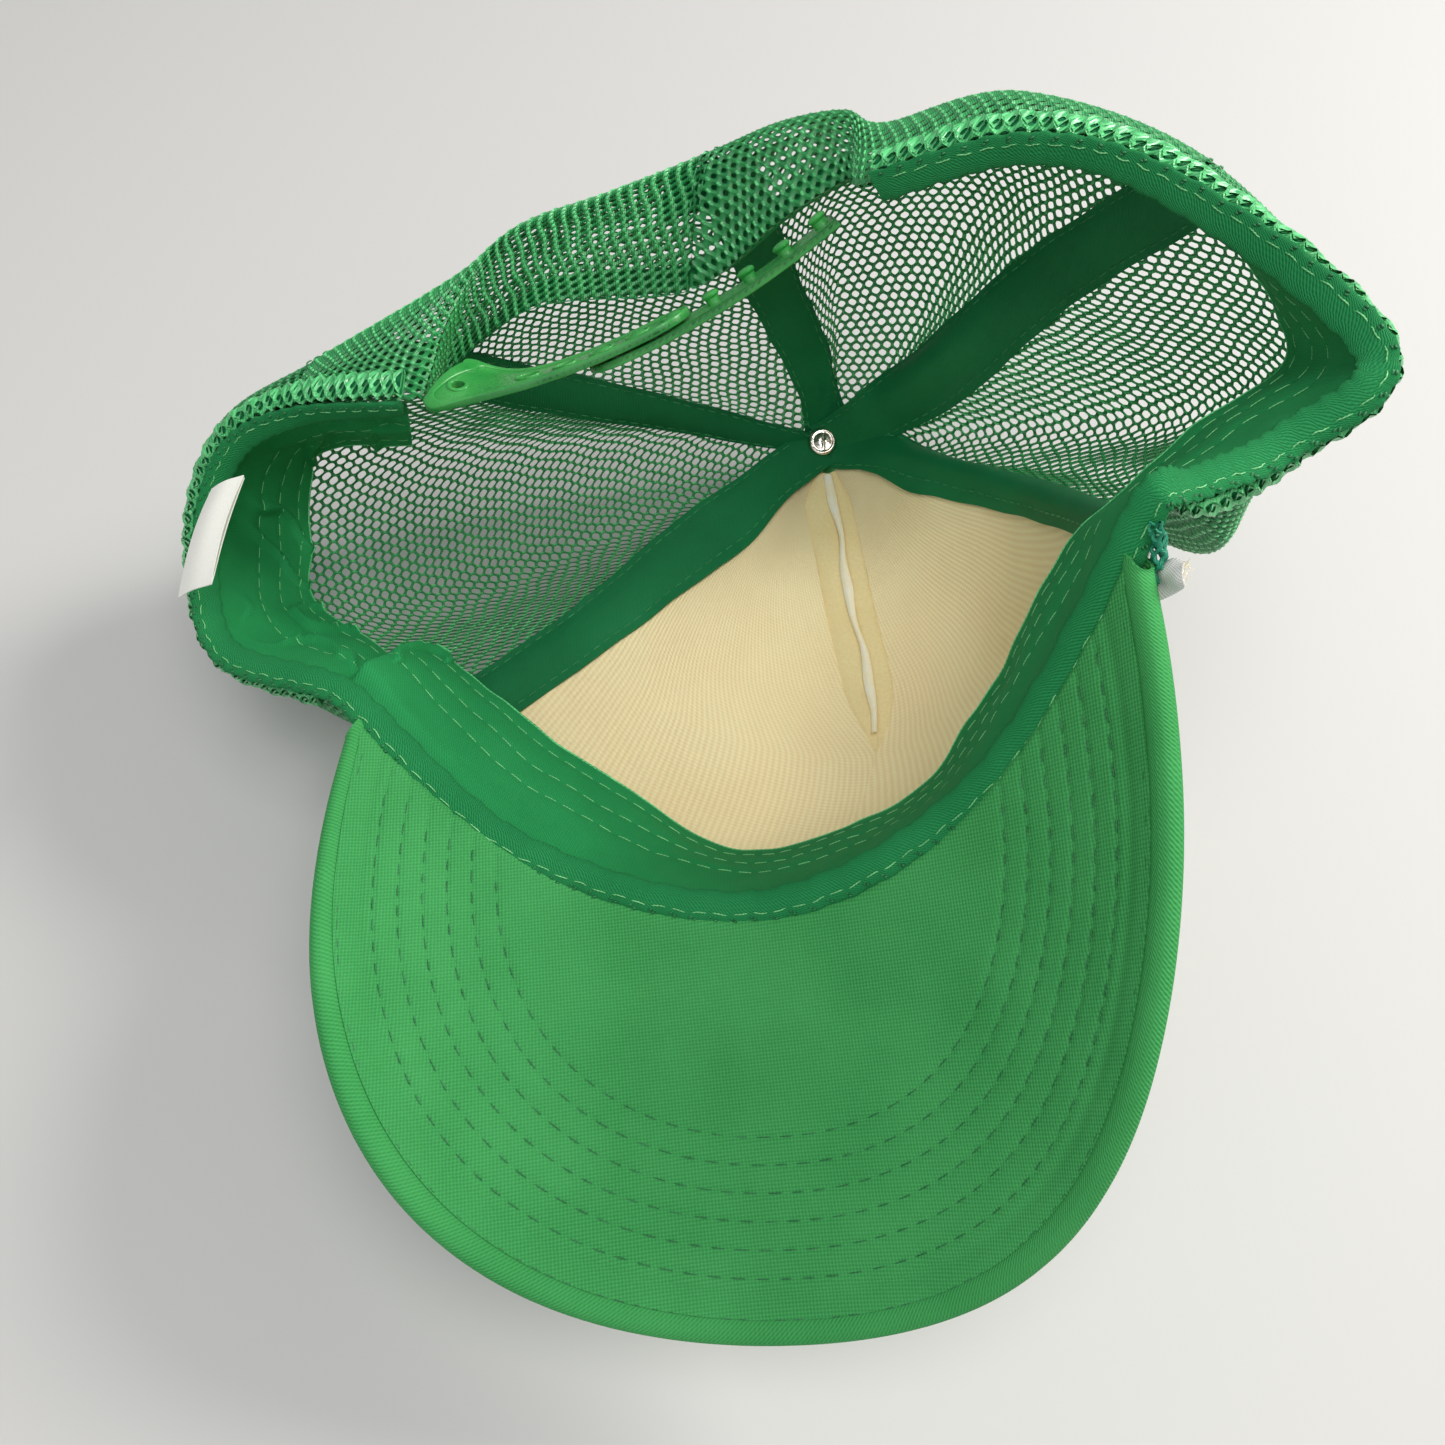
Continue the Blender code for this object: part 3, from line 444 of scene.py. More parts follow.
def yarn(name, colour, shade, roughness=0.45, twist=0.0007, sheen=0.03):
    """Thread or cord: fine diagonal twist lines over the piece."""
    n = Nodes(name, roughness)
    n.set("Sheen Weight", sheen)
    n.set("Specular IOR Level", 0.5)
    x, y = n.coordinates()
    lines = n.wave(n.math("ADD", x, n.math("MULTIPLY", y, 0.7)), twist)
    height = n.blend(lines, 0.7, n.noise(1800.0, 2.0), 0.4)
    base = n.mix(n.spread(height, 0.1, 1.0), shade, colour)
    pale = tuple(min(c * 1.5 + 0.03, 1.0) for c in colour)
    base = n.mix(n.math("MULTIPLY", n.spread(n.noise(220.0, 2.0), 0.45, 0.75), 0.45), base, pale)
    n.link(base, "Base Color")
    n.bump(height, 0.00012, 0.5)
    return n.mat


def nylon_net():
    """Glossy knitted nylon: painted highlight where yarns run on top, painted shade in between."""
    n = Nodes("nylon_net", 0.38)
    n.set("Specular IOR Level", 0.65)
    n.set("Sheen Weight", 0.03)
    x, _ = n.coordinates(0.5)
    lines = n.wave(x, 0.00042)
    height = n.blend(lines, 0.6, n.noise(1500.0, 3.0), 0.6)
    # Colour follows the yarn height: painted highlight on the raised yarn, painted shade in the dips.
    base = n.mix(n.spread(height, 0.25, 0.95), (0.004, 0.13, 0.032), (0.028, 0.34, 0.092))
    base = n.mix(n.math("MULTIPLY", n.spread(n.noise(160.0, 3.0), 0.5, 0.8), 0.5), base, (0.06, 0.46, 0.13))
    n.link(base, "Base Color")
    n.bump(height, 0.00015, 0.6)
    return n.mat


def foam_material():
    n = Nodes("foam", 0.9)
    n.set("Subsurface Weight", 0.1)
    n.set("Subsurface Radius", (0.004, 0.003, 0.001))
    n.set("Subsurface Scale", 0.5)
    pores = n.noise(1400.0, 3.0)
    base = n.mix(n.spread(pores, 0.3, 0.7), (0.88, 0.70, 0.36), (0.93, 0.78, 0.43))
    base = n.mix(n.math("MULTIPLY", n.spread(n.noise(60.0, 3.0), 0.4, 0.7), 0.35), base, (0.80, 0.60, 0.27))
    n.link(base, "Base Color")
    n.bump(pores, 0.00012, 0.4)
    return n.mat


def plastic_material():
    """Moulded translucent green plastic with fine scuffs."""
    n = Nodes("strap_plastic", 0.28)
    n.set("Specular IOR Level", 0.5)
    n.set("Subsurface Weight", 0.25)
    n.set("Subsurface Radius", (0.001, 0.004, 0.0015))
    n.set("Subsurface Scale", 0.6)
    n.set("Coat Weight", 0.2)
    n.set("Coat Roughness", 0.25)
    cloud = n.noise(90.0, 3.0)
    base = n.mix(n.spread(cloud, 0.3, 0.7), (0.020, 0.26, 0.045), (0.055, 0.38, 0.075))
    n.link(base, "Base Color")
    scuffs = n.noise(900.0, 4.0)
    n.link(n.math("ADD", n.math("MULTIPLY", scuffs, 0.3), 0.15), "Roughness")
    n.bump(n.math("ADD", scuffs, n.math("MULTIPLY", cloud, 2.0)), 0.00012, 0.4)
    return n.mat


def metal_material():
    n = Nodes("rivet_metal", 0.14, 1.0)
    scratches = n.noise(1300.0, 4.0)
    base = n.mix(n.spread(n.noise(500.0, 3.0), 0.35, 0.7), (0.80, 0.76, 0.70), (0.55, 0.46, 0.36))
    n.link(base, "Base Color")
    n.link(n.math("ADD", n.math("MULTIPLY", scratches, 0.2), 0.05), "Roughness")
    n.bump(scratches, 0.00006, 0.4)
    return n.mat


def board_material():
    n = Nodes("board", 0.6)
    grain = n.noise(700.0, 3.0)
    n.link(n.mix(grain, (0.45, 0.45, 0.42), (0.60, 0.60, 0.56)), "Base Color")
    n.bump(grain, 0.0001, 0.3)
    return n.mat


def make_materials():
    return {
        "net": nylon_net(),
        "tape": cloth("tape_cloth", (0.003, 0.195, 0.060), (0.001, 0.105, 0.030), "plain", 0.45 * MM, 0.00014,
                      roughness=0.55, sheen=0.12, mottle=0.45),
        "twill": cloth("sweatband_twill", (0.012, 0.26, 0.072), (0.007, 0.185, 0.048), "twill", 0.62 * MM,
                       0.00010, sheen=0.08),
        "binding": cloth("binding_rib", (0.012, 0.24, 0.068), (0.005, 0.15, 0.040), "twill", 0.7 * MM,
                         0.00022),
        "canvas": cloth("brim_canvas", (0.054, 0.335, 0.093), (0.021, 0.215, 0.048), "plain", 0.88 * MM,
                        0.00020, turn=0.75),
        "brim_top": cloth("brim_twill", (0.052, 0.335, 0.089), (0.021, 0.225, 0.050), "twill", 0.75 * MM,
                          0.00016),
        "white": cloth("face_fabric", (0.80, 0.79, 0.76), (0.52, 0.51, 0.49), "plain", 0.50 * MM, 0.00012,
                       mottle=0.2),
        "scrim": cloth("scrim", (0.99, 0.84, 0.52), (0.90, 0.70, 0.38), "ribs", 1.2 * MM, 0.00022, turn=-0.22,
                       mottle=0.25),
        "label": cloth("label_cloth", (0.86, 0.86, 0.80), (0.66, 0.66, 0.60), "plain", 0.35 * MM, 0.00006,
                       mottle=0.15),
        "thread": yarn("thread_pale", (0.22, 0.62, 0.26), (0.07, 0.34, 0.11)),
        "thread_green": yarn("thread_green", (0.03, 0.30, 0.10), (0.006, 0.11, 0.03)),
        "thread_dark": yarn("thread_dark", (0.012, 0.19, 0.055), (0.003, 0.07, 0.02)),
        # Pale glossy yarn for the overlocked hems and the piping; the net's float yarns are drawn in it too,
        # a painted highlight for their glints.
        "overlock_and_glint": yarn("overlock_and_glint_yarn", (0.13, 0.60, 0.22), (0.03, 0.30, 0.09), 0.28),
        "white_thread": yarn("white_thread", (0.99, 0.92, 0.72), (0.95, 0.84, 0.58), 0.8),
        "rope": yarn("rope_yarn", (0.012, 0.36, 0.20), (0.002, 0.13, 0.07), 0.42, 0.00045),
        "foam": foam_material(),
        "plastic": plastic_material(),
        "metal": metal_material(),
        "board": board_material(),
    }


# ---- Mesh building ----------------------------------------------------------------------


def add_piece(name, points, faces, mat, uv=None, body="cap", slot=None, smooth_angle=60):
    mesh = bpy.data.meshes.new(name)
    points = np.asarray(points, float).reshape(-1, 3) + PLACE
    mesh.from_pydata(points.tolist(), [], [tuple(int(k) for k in face) for face in faces])
    if uv is not None:
        layer = mesh.uv_layers.new(name="cloth")
        corners = np.empty(len(mesh.loops), np.int32)
        mesh.loops.foreach_get("vertex_index", corners)
        layer.data.foreach_set("uv", np.asarray(uv, float).reshape(-1, 2)[corners].ravel())
    mesh.materials.append(mat)
    mesh.shade_smooth()
    mesh.set_sharp_from_angle(angle=math.radians(smooth_angle))
    obj = bpy.data.objects.new(name, mesh)
    bpy.context.scene.collection.objects.link(obj)
    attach(obj, body)
    return obj


def grid_faces(rows, columns, wrap=False):
    i, j = np.meshgrid(np.arange(rows - 1), np.arange(columns if wrap else columns - 1), indexing="ij")
    k = (j + 1) % columns
    return np.stack([i * columns + j, i * columns + k, (i + 1) * columns + k, (i + 1) * columns + j],
                    -1).reshape(-1, 4)


def grid_normals(grid):
    return unit(np.cross(np.gradient(grid, axis=0), np.gradient(grid, axis=1)))


def grid_uv(grid):
    """Cloth coordinates in metres, measured along the middle row and the middle column."""
    rows, columns = grid.shape[:2]
    along = run_lengths(grid[rows // 2])
    up = run_lengths(grid[:, columns // 2])
    return np.stack(np.meshgrid(along, up), -1)


def cloth_sheet(name, grid, thickness, mat, uv=None, **where):
    """Cloth of a thickness around a grid of points, closed along its edges."""
    rows, columns = grid.shape[:2]
    half = grid_normals(grid) * thickness / 2
    uv = grid_uv(grid) if uv is None else uv
    total = rows * columns
    sheet = grid_faces(rows, columns)
    edge = [*range(columns), *[i * columns + columns - 1 for i in range(1, rows)],
            *[(rows - 1) * columns + j for j in range(columns - 2, -1, -1)],
            *[i * columns for i in range(rows - 2, 0, -1)]]
    rim = [[a, edge[(k + 1) % len(edge)], edge[(k + 1) % len(edge)] + total, a + total]
           for k, a in enumerate(edge)]
    faces = [*sheet[:, ::-1], *(sheet + total), *rim]
    points = np.concatenate([(grid - half).reshape(-1, 3), (grid + half).reshape(-1, 3)])
    uv = np.concatenate([np.asarray(uv).reshape(-1, 2)] * 2)
    return add_piece(name, points, faces, mat, uv, **where)


def section_sweep(name, centres, sides_a, sides_b, section, mat, **where):
    """Sweeps a closed section, (a, b) pairs in metres, along centres with two side vectors."""
    section = np.asarray(section)
    rings = (centres[:, None] + section[None, :, :1] * sides_a[:, None]
             + section[None, :, 1:] * sides_b[:, None])
    rows, columns = rings.shape[:2]
    faces = [list(face) for face in grid_faces(rows, columns, wrap=True)]
    faces += [list(range(columns))[::-1], [(rows - 1) * columns + j for j in range(columns)]]
    along = run_lengths(centres)
    round_it = np.linspace(0, np.abs(section).sum() * 0.5, columns)
    uv = np.stack(np.meshgrid(round_it, along), -1)
    return add_piece(name, rings, faces, mat, uv, **where)


def ellipse(half_a, half_b, count):
    angles = np.arange(count) * TAU / count
    return np.stack([half_a * np.cos(angles), half_b * np.sin(angles)], -1)


def along_run(at, run, values):
    """Vectors read off at lengths along a path."""
    return np.stack([np.interp(at, run, values[:, k]) for k in range(3)], -1)


class Bag:
    """Gathers many small bodies, such as stitches, into one piece."""

    def __init__(self):
        self.points, self.faces, self.uv, self.count = [], [], [], 0

    def add(self, points, faces, uv):
        self.points.append(points.reshape(-1, 3))
        self.uv.append(uv.reshape(-1, 2))
        self.faces.append(np.asarray(faces) + self.count)
        self.count += len(self.points[-1])

    def piece(self, name, mat, **where):
        faces = [face for block in self.faces for face in block]
        return add_piece(name, np.concatenate(self.points), faces, mat, np.concatenate(self.uv), **where)

    def threads(self, paths, normals, radius, sides=6):
        """Short threads: paths and normals are (threads, points along, 3)."""
        count, steps = paths.shape[:2]
        ways = unit(np.gradient(paths, axis=1))
        across = unit(np.cross(normals, ways))
        upward = np.cross(ways, across)
        t = np.linspace(-1, 1, steps)
        taper = radius * np.sqrt(np.clip(1 - 0.92 * np.abs(t) ** 5, 0.05, 1))
        angles = np.arange(sides) * TAU / sides
        rings = (paths[:, :, None] + taper[None, :, None, None] * (
            np.cos(angles)[None, None, :, None] * across[:, :, None]
            + np.sin(angles)[None, None, :, None] * upward[:, :, None]))
        one = grid_faces(steps, sides, wrap=True)
        faces = (one[None] + (np.arange(count) * steps * sides)[:, None, None]).reshape(-1, 4)
        lengths = np.linalg.norm(np.diff(paths, axis=1), axis=2).cumsum(1)
        lengths = np.concatenate([np.zeros((count, 1)), lengths], 1)
        uv = np.stack([np.broadcast_to(lengths[:, :, None], rings.shape[:3]),
                       np.broadcast_to(angles * radius, rings.shape[:3])], -1)
        self.add(rings, faces, uv)

    def stitches(self, path, normals, pitch, length, radius, lift=0.0, start=0.0, jitter=0.06):
        """A row of stitches along a path, each dipping into the cloth at its ends."""
        run = run_lengths(path)
        places = np.arange(start + pitch / 2, run[-1] - pitch / 2, pitch)
        places = places + RNG.uniform(-jitter, jitter, len(places)) * pitch
        t = np.linspace(-1, 1, 6)
        at = np.clip(places[:, None] + t * length / 2, 0, run[-1])
        points = along_run(at, run, path)
        ways = unit(along_run(at, run, normals))
        height = lift + radius * (0.7 - 1.6 * t**4)
        self.threads(points + ways * height[None, :, None], ways, radius)


def ripple(points, scale, seed):
    """Smooth noise from -1 to 1 at each point, the same each run."""
    flat = np.asarray(points).reshape(-1, 3) * scale + seed
    values = [noise.noise(point) for point in flat.tolist()]
    return np.array(values).reshape(np.shape(points)[:-1])


# ---- Net --------------------------------------------------------------------------------

NET_PITCH = 2.55 * MM
NET_ROW = 2.1 * MM
NET_STRAND = {"mesh_left_side": 0.34 * MM, "mesh_right_side": 0.38 * MM, "mesh_left_rear": 0.42 * MM,
              "mesh_right_rear": 0.42 * MM}
REAR_PACKING = 1.2                       # how much smaller the rear panels' holes get near the rim
FLOAT_SLANT = 0.16


def net_cells(bag, floats, place, x_range, y_range, lean, sizes, packing=0.0):
    """Knitted net of rounded six-sided holes in offset rows. place maps x, y and a height to
    points and a keep mask. floats gets the raised yarns beside the holes."""
    pitch, row, strand = sizes
    columns = int((x_range[1] - x_range[0]) / pitch) + 2
    rows = int((y_range[1] - y_range[0]) / row) + 2
    i, j = np.meshgrid(np.arange(rows), np.arange(columns), indexing="ij")
    i, j = i.ravel(), j.ravel()
    centre_x = x_range[0] + (j + 0.5 * (i % 2)) * pitch
    centre_y = y_range[0] + i * row
    half, tall = pitch / 2, row / 2
    corner_rise = tall * 0.42
    hexagon = np.array([(half, -corner_rise), (half, corner_rise), (0, tall + tall - corner_rise),
                        (-half, corner_rise), (-half, -corner_rise), (0, -tall - tall + corner_rise)])
    outer = np.concatenate([[a, (a + b) / 2] for a, b in zip(hexagon, np.roll(hexagon, -1, 0))])
    round_hole = np.stack([np.cos(np.arctan2(outer[:, 1], outer[:, 0])) * half,
                           np.sin(np.arctan2(outer[:, 1], outer[:, 0])) * tall * 1.12], -1)
    inner = 0.45 * outer + 0.55 * round_hole
    opening = 1 - (1.9 + packing * smooth(0.075, 0.02, centre_y)) * strand / pitch

    def bent(px, py):
        wave = 0.12 * MM * np.sin(px / (3.1 * pitch) * TAU) + 0.30 * MM * np.sin(py / (7.3 * row) * TAU + 1)
        return px + wave + lean * py, py + 0.35 * MM * np.sin(px / (11.0 * pitch) * TAU)

    loops = []
    full = np.ones_like(opening)
    for loop, scale, height in ((outer, full, strand), (inner, opening, 0.0), (outer, full, -strand)):
        around_x, around_y = scale[:, None] * loop[:, 0], scale[:, None] * loop[:, 1]
        x, y = bent(centre_x[:, None] + around_x, centre_y[:, None] + around_y)
        points, keep = place(x.ravel(), y.ravel(), np.full(x.size, height))
        loops.append((points.reshape(*x.shape, 3), keep.reshape(x.shape), np.stack([x, y], -1)))
    good = loops[1][1].sum(1) >= 5
    points = np.concatenate([loop[0][good] for loop in loops], axis=1)
    uv = np.concatenate([loop[2][good] for loop in loops], axis=1)
    size = len(outer)
    around = np.arange(size)
    following = (around + 1) % size
    top = np.stack([around, following, size + following, size + around], -1)
    under = np.stack([size + around, size + following, 2 * size + following, 2 * size + around], -1)
    one = np.concatenate([top, under])
    faces = (one[None] + (np.arange(good.sum()) * size * 3)[:, None, None]).reshape(-1, 4)
    bag.add(points, faces, uv)
    t = np.linspace(-1, 1, 4)
    for side in (-0.30, 0.30):
        x = centre_x[good, None] + half + side * strand + FLOAT_SLANT * t * strand * 2
        y = centre_y[good, None] + t * corner_rise * 1.75
        x, y = bent(x, y)
        rise = strand * (1.0 - 0.55 * t**2)
        for face in (1, -1):
            height = (rise * face * np.ones_like(x)).ravel()
            yarn_at, keep = place(x.ravel(), y.ravel(), height)
            above, _ = place(x.ravel(), y.ravel(), height + face * MM)
            ok = keep.reshape(x.shape).all(1)
            yarn_at, above = yarn_at.reshape(*x.shape, 3)[ok], above.reshape(*x.shape, 3)[ok]
            floats.threads(yarn_at, unit(above - yarn_at), strand * 0.50, 4)


def make_nets(mats):
    """Four crown panels of net."""
    panels = {"mesh_right_side": ("front_right", "rear_right"),
              "mesh_right_rear": ("rear_right", "rear_centre"),
              "mesh_left_rear": ("rear_centre", "rear_left"),
              "mesh_left_side": ("rear_left", "front_left")}
    for number, (node, (first, last)) in enumerate(panels.items()):
        gore = Gore(SEAMS[first], SEAMS[last])
        net, floats = Bag(), Bag()

        def place(x, y, height, gore=gore):
            u, v, inside = gore.place(x, y)
            return crown_at(u, v, height), inside

        reach = gore.width * 0.75
        net_cells(net, floats, place, (-reach, reach), (0.5 * MM, gore.length[-1]), (0.12, -0.1)[number % 2],
                  (NET_PITCH, NET_ROW, NET_STRAND[node]), REAR_PACKING if "rear" in node else 0.0)
        piece = net.piece("net_" + node[5:], mats["net"], slot="green_mesh")
        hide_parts(node)
        # The float yarns get the pale yarn colour: painted highlight for the glints on the glossy net.
        floats.piece("net_glint_yarn_" + node[5:], mats["overlock_and_glint"], slot="green_mesh")


# ---- Front panel ------------------------------------------------------------------------


def front_edges(v, margin):
    """u of the front panel's two seams, drawn in by a margin in metres."""
    left, right = SEAMS["front_left"] - COUNT, SEAMS["front_right"]
    return (left + margin / crown_frame(left, v)[3], right - margin / crown_frame(right, v)[3])


DART_END = 0.505
DART_HALF = 5.8 * MM


def dart_half(v):
    """Half the dart's opening in u."""
    opening = DART_HALF * smooth(DART_END - 0.01, DART_END + 0.11, v) ** 0.7
    return np.minimum(opening / crown_frame(0.0, v)[3], 0.75)


def front_grid(v, first, last, columns, off):
    share = np.linspace(0, 1, columns)[None, :]
    u = first[:, None] * (1 - share) + last[:, None] * share
    v = np.broadcast_to(v[:, None], u.shape)
    return crown_at(u, v, np.broadcast_to(off, u.shape))


def make_front(mats):
    v = np.concatenate([np.linspace(0.025, DART_END, 60), np.linspace(DART_END, 0.965, 80)[1:]])
    tuck = 3.0 * MM * smooth(0.10, 0.03, v)
    share = np.linspace(0, 1, 170)[None, :]
    wrap = 0.5 * MM + 3.0 * MM * smooth(0.0, 0.022, share) * smooth(1.0, 0.978, share)
    grid = front_grid(v, *front_edges(v, 0.5 * MM + tuck), 170, wrap)
    grid = grid + grid_normals(grid) * (0.25 * MM * ripple(grid, 45, 3.0))[..., None]
    face = cloth_sheet("front_face", grid, 0.6 * MM, mats["white"], slot="white_fabric")
    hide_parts("front_fabric")
    left, _ = front_edges(v, 1.0 * MM + tuck)
    _, right = front_edges(v, -1.2 * MM + tuck)
    halves = (("front_lining_left", left, -dart_half(v)), ("front_lining_right", dart_half(v), right))
    for name, first, last in halves:
        grid = front_grid(v, first, last, 80, -0.2 * MM)
        swell = 0.5 * MM * ripple(grid, 38, 11.0) + 0.12 * MM * ripple(grid, 160, 5.0)
        grid = grid + crown_bump(grid, swell)
        cloth_sheet(name, grid, 0.4 * MM, mats["scrim"], slot="scrim")
    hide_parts("front_lining")
    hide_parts("front_lining")
    grid = front_grid(v, *front_edges(v, 2.4 * MM + tuck), 90, 1.75 * MM)
    foam = cloth_sheet("front_foam_sheet", grid, 2.3 * MM, mats["foam"], slot="foam")
    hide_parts("front_foam")
    rows = np.linspace(DART_END - 0.005, 0.955, 90)
    for name, side in (("foam_lip_left", -1), ("foam_lip_right", 1)):
        share = np.linspace(0.03, 1.12, 14)[None, :]
        u = side * dart_half(rows)[:, None] * share
        arch = np.sqrt(np.clip(1 - (2 * np.clip(share, 0, 1) - 0.95) ** 2, 0, 1))
        fullness = smooth(DART_END, DART_END + 0.07, rows)[:, None]
        off = 0.5 * MM - (0.9 * MM + 0.25 * MM * ripple(crown(u, rows[:, None]), 90, 2.0)) * arch * fullness
        grid = crown_at(u, np.broadcast_to(rows[:, None], u.shape), off)
        cloth_sheet(name, grid, 0.5 * MM, mats["foam"], slot="foam")
    rows = np.linspace(DART_END + 0.03, 0.95, 120)
    wobble = 0.35 * MM * np.sin(rows * 31) + 0.2 * MM * np.sin(rows * 67 + 1)
    share = np.linspace(-1, 1, 7)[None, :]
    width = 1.15 * MM * (0.75 + 0.25 * np.sin(rows * 43))[:, None]
    u = (wobble[:, None] + share * width) / crown_frame(0.0, rows)[3][:, None]
    off = -1.2 * MM - 0.6 * MM * (1 - share**2) * np.ones_like(u)
    strip = cloth_sheet("dart_strip", crown_at(u, np.broadcast_to(rows[:, None], u.shape), off), 0.3 * MM,
                        mats["white_thread"], slot="white_thread")
    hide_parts("dart_thread")


def crown_bump(grid, height):
    """Moves cloth towards the inside of the crown by a height."""
    return -grid_normals(grid) * height[..., None] * outward_sign(grid)


def outward_sign(grid):
    """1 where the grid's own normals point out of the crown, -1 where they point in."""
    centre = np.array([0.02, 0.05, 0.07])
    middle = grid[grid.shape[0] // 2, grid.shape[1] // 2]
    normal = grid_normals(grid)[grid.shape[0] // 2, grid.shape[1] // 2]
    return 1.0 if normal @ (middle - centre) > 0 else -1.0


# ---- Tapes ------------------------------------------------------------------------------

TAPE_HALF = {"front_left": 6.4 * MM, "front_right": 5.2 * MM, "rear_centre": 7.0 * MM, "rear_right": 7.3 * MM,
             "rear_left": 8.0 * MM}
TAPE_SHIFT = {"front_right": 2.8 * MM}   # towards the net
TAPE_LAYER = {"rear_centre": 0, "front_right": 1, "rear_left": 1, "front_left": 2, "rear_right": 2}


def tape_grid(seam, v, across, off):
    """Points of a tape: across in metres from the seam. It keeps its width at the button."""
    v2, across2 = np.broadcast_arrays(v[:, None], np.atleast_2d(across))
    around, _, _, per_u = crown_frame(seam, v)
    on_crown = crown_at(seam + across2 / per_u[:, None], v2, np.zeros_like(v2))
    flat = crown(seam, v)[:, None] + across2[..., None] * around[:, None]
    share = smooth(0.74, 0.90, v2)[..., None]
    _, _, normals, _ = crown_frame(seam + (across2 / per_u[:, None]) * (1 - share[..., 0]), v2)
    return on_crown * (1 - share) + flat * share + np.asarray(off)[..., None] * normals


def make_tapes(mats):
    rows, columns = 110, 21
    across = np.linspace(-1, 1, columns)
    threads = Bag()
    for name, seam in SEAMS.items():
        layer = TAPE_LAYER[name]
        start = 0.10 if name == "rear_centre" else 0.006
        v = np.linspace(start, 0.985 if layer else 0.955, rows)
        puff = 0.25 + 0.75 * (1 - np.clip(np.abs(across) / 0.80, 0, 1) ** 2.4)[None, :]
        near = smooth(0.78, 0.93, v)[:, None]
        off = -(1.05 + 1.15 * puff * (1 - 0.8 * near) + layer * 0.55 * near) * MM
        edge = 0.14 * MM * np.sin(v * 57 + seam)
        half = TAPE_HALF[name]
        shift = TAPE_SHIFT.get(name, 0.0) * smooth(0.96, 0.84, v)[:, None]
        grid = tape_grid(seam, v, across * half + shift, off)
        grid = grid + (across[None, :] * edge[:, None])[..., None] * crown_frame(seam, v)[0][:, None]
        wrinkle = 0.38 * MM * ripple(grid, 70, seam + 2.0) + 0.16 * MM * ripple(grid, 220, seam + 9.0)
        grid = grid - crown_frame(seam, v)[2][:, None] * wrinkle[..., None]
        piece = cloth_sheet("tape_" + name + "_cloth", grid, 0.6 * MM, mats["tape"], slot="dark_tape")
        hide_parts("tape_" + name)
        for side in (-0.80, 0.80):
            column = int(round((side + 1) / 2 * (columns - 1)))
            inward = -crown_frame(seam, v)[2]
            threads.stitches(grid[:, column], inward, 3.4 * MM, 2.5 * MM, 0.17 * MM, 0.32 * MM)
            last = int(rows * 0.93)
            outside = tape_grid(seam, v[:last], np.array([side * half * 0.2]), 0.5 * MM)[:, 0]
            threads.stitches(outside, -inward[:last], 3.4 * MM, 2.3 * MM, 0.17 * MM, 0.1 * MM)
    threads.piece("tape_stitches", mats["thread_green"], slot="dark_tape")


# ---- Sweatband and rim ------------------------------------------------------------------

SWEATBAND_STANDOFF = 2.4 * MM
SWEATBAND_EDGE = {  # upper edge of the band at each rib, in mm
    "front": (15, -25, 37), "front_r": (48, -23, 65),
    "seam_front_right": (68, -2, 111), "side_r1": (76, 7, 112),
    "side_r2": (90, 19, 116), "side_r3": (107, 31, 125),
    "seam_rear_right": (91.5, 72.5, 123), "rear_r1": (66, 83.5, 122),
    "root_right": (39.5, 87.5, 108), "root_left": (-58, 71, 52),
    "seam_rear_left": (-83, 74, 45), "side_l3": (-88, 71, 37),
    "side_l2": (-88, 58, 29), "side_l1": (-82, 37, 33),
    "seam_front_left": (-48, 15, 40), "front_l": (-19, -6, 40),
}


PLEAT = SEAMS["front_left"] - COUNT - 0.04     # where the band folds over itself beside the brim


def band_top(columns):
    """Upper edge of the sweatband at each u."""
    edge = {RIB[name]: np.array(point) * MM for name, point in SWEATBAND_EDGE.items()}
    tops = []
    for u in columns:
        first = math.floor(u)
        near = [edge.get((first + k) % COUNT) for k in (-1, 0, 1, 2)]
        near[0] = near[0] if near[0] is not None else 2 * near[1] - near[2]
        near[3] = near[3] if near[3] is not None else 2 * near[2] - near[1]
        leave = EASE[first % COUNT] * (near[2] - near[0]) / 2
        arrive = EASE[(first + 1) % COUNT] * (near[3] - near[1]) / 2
        tops.append(cubic(near[1], near[2], leave, arrive, np.array(u - first)))
    return np.array(tops)


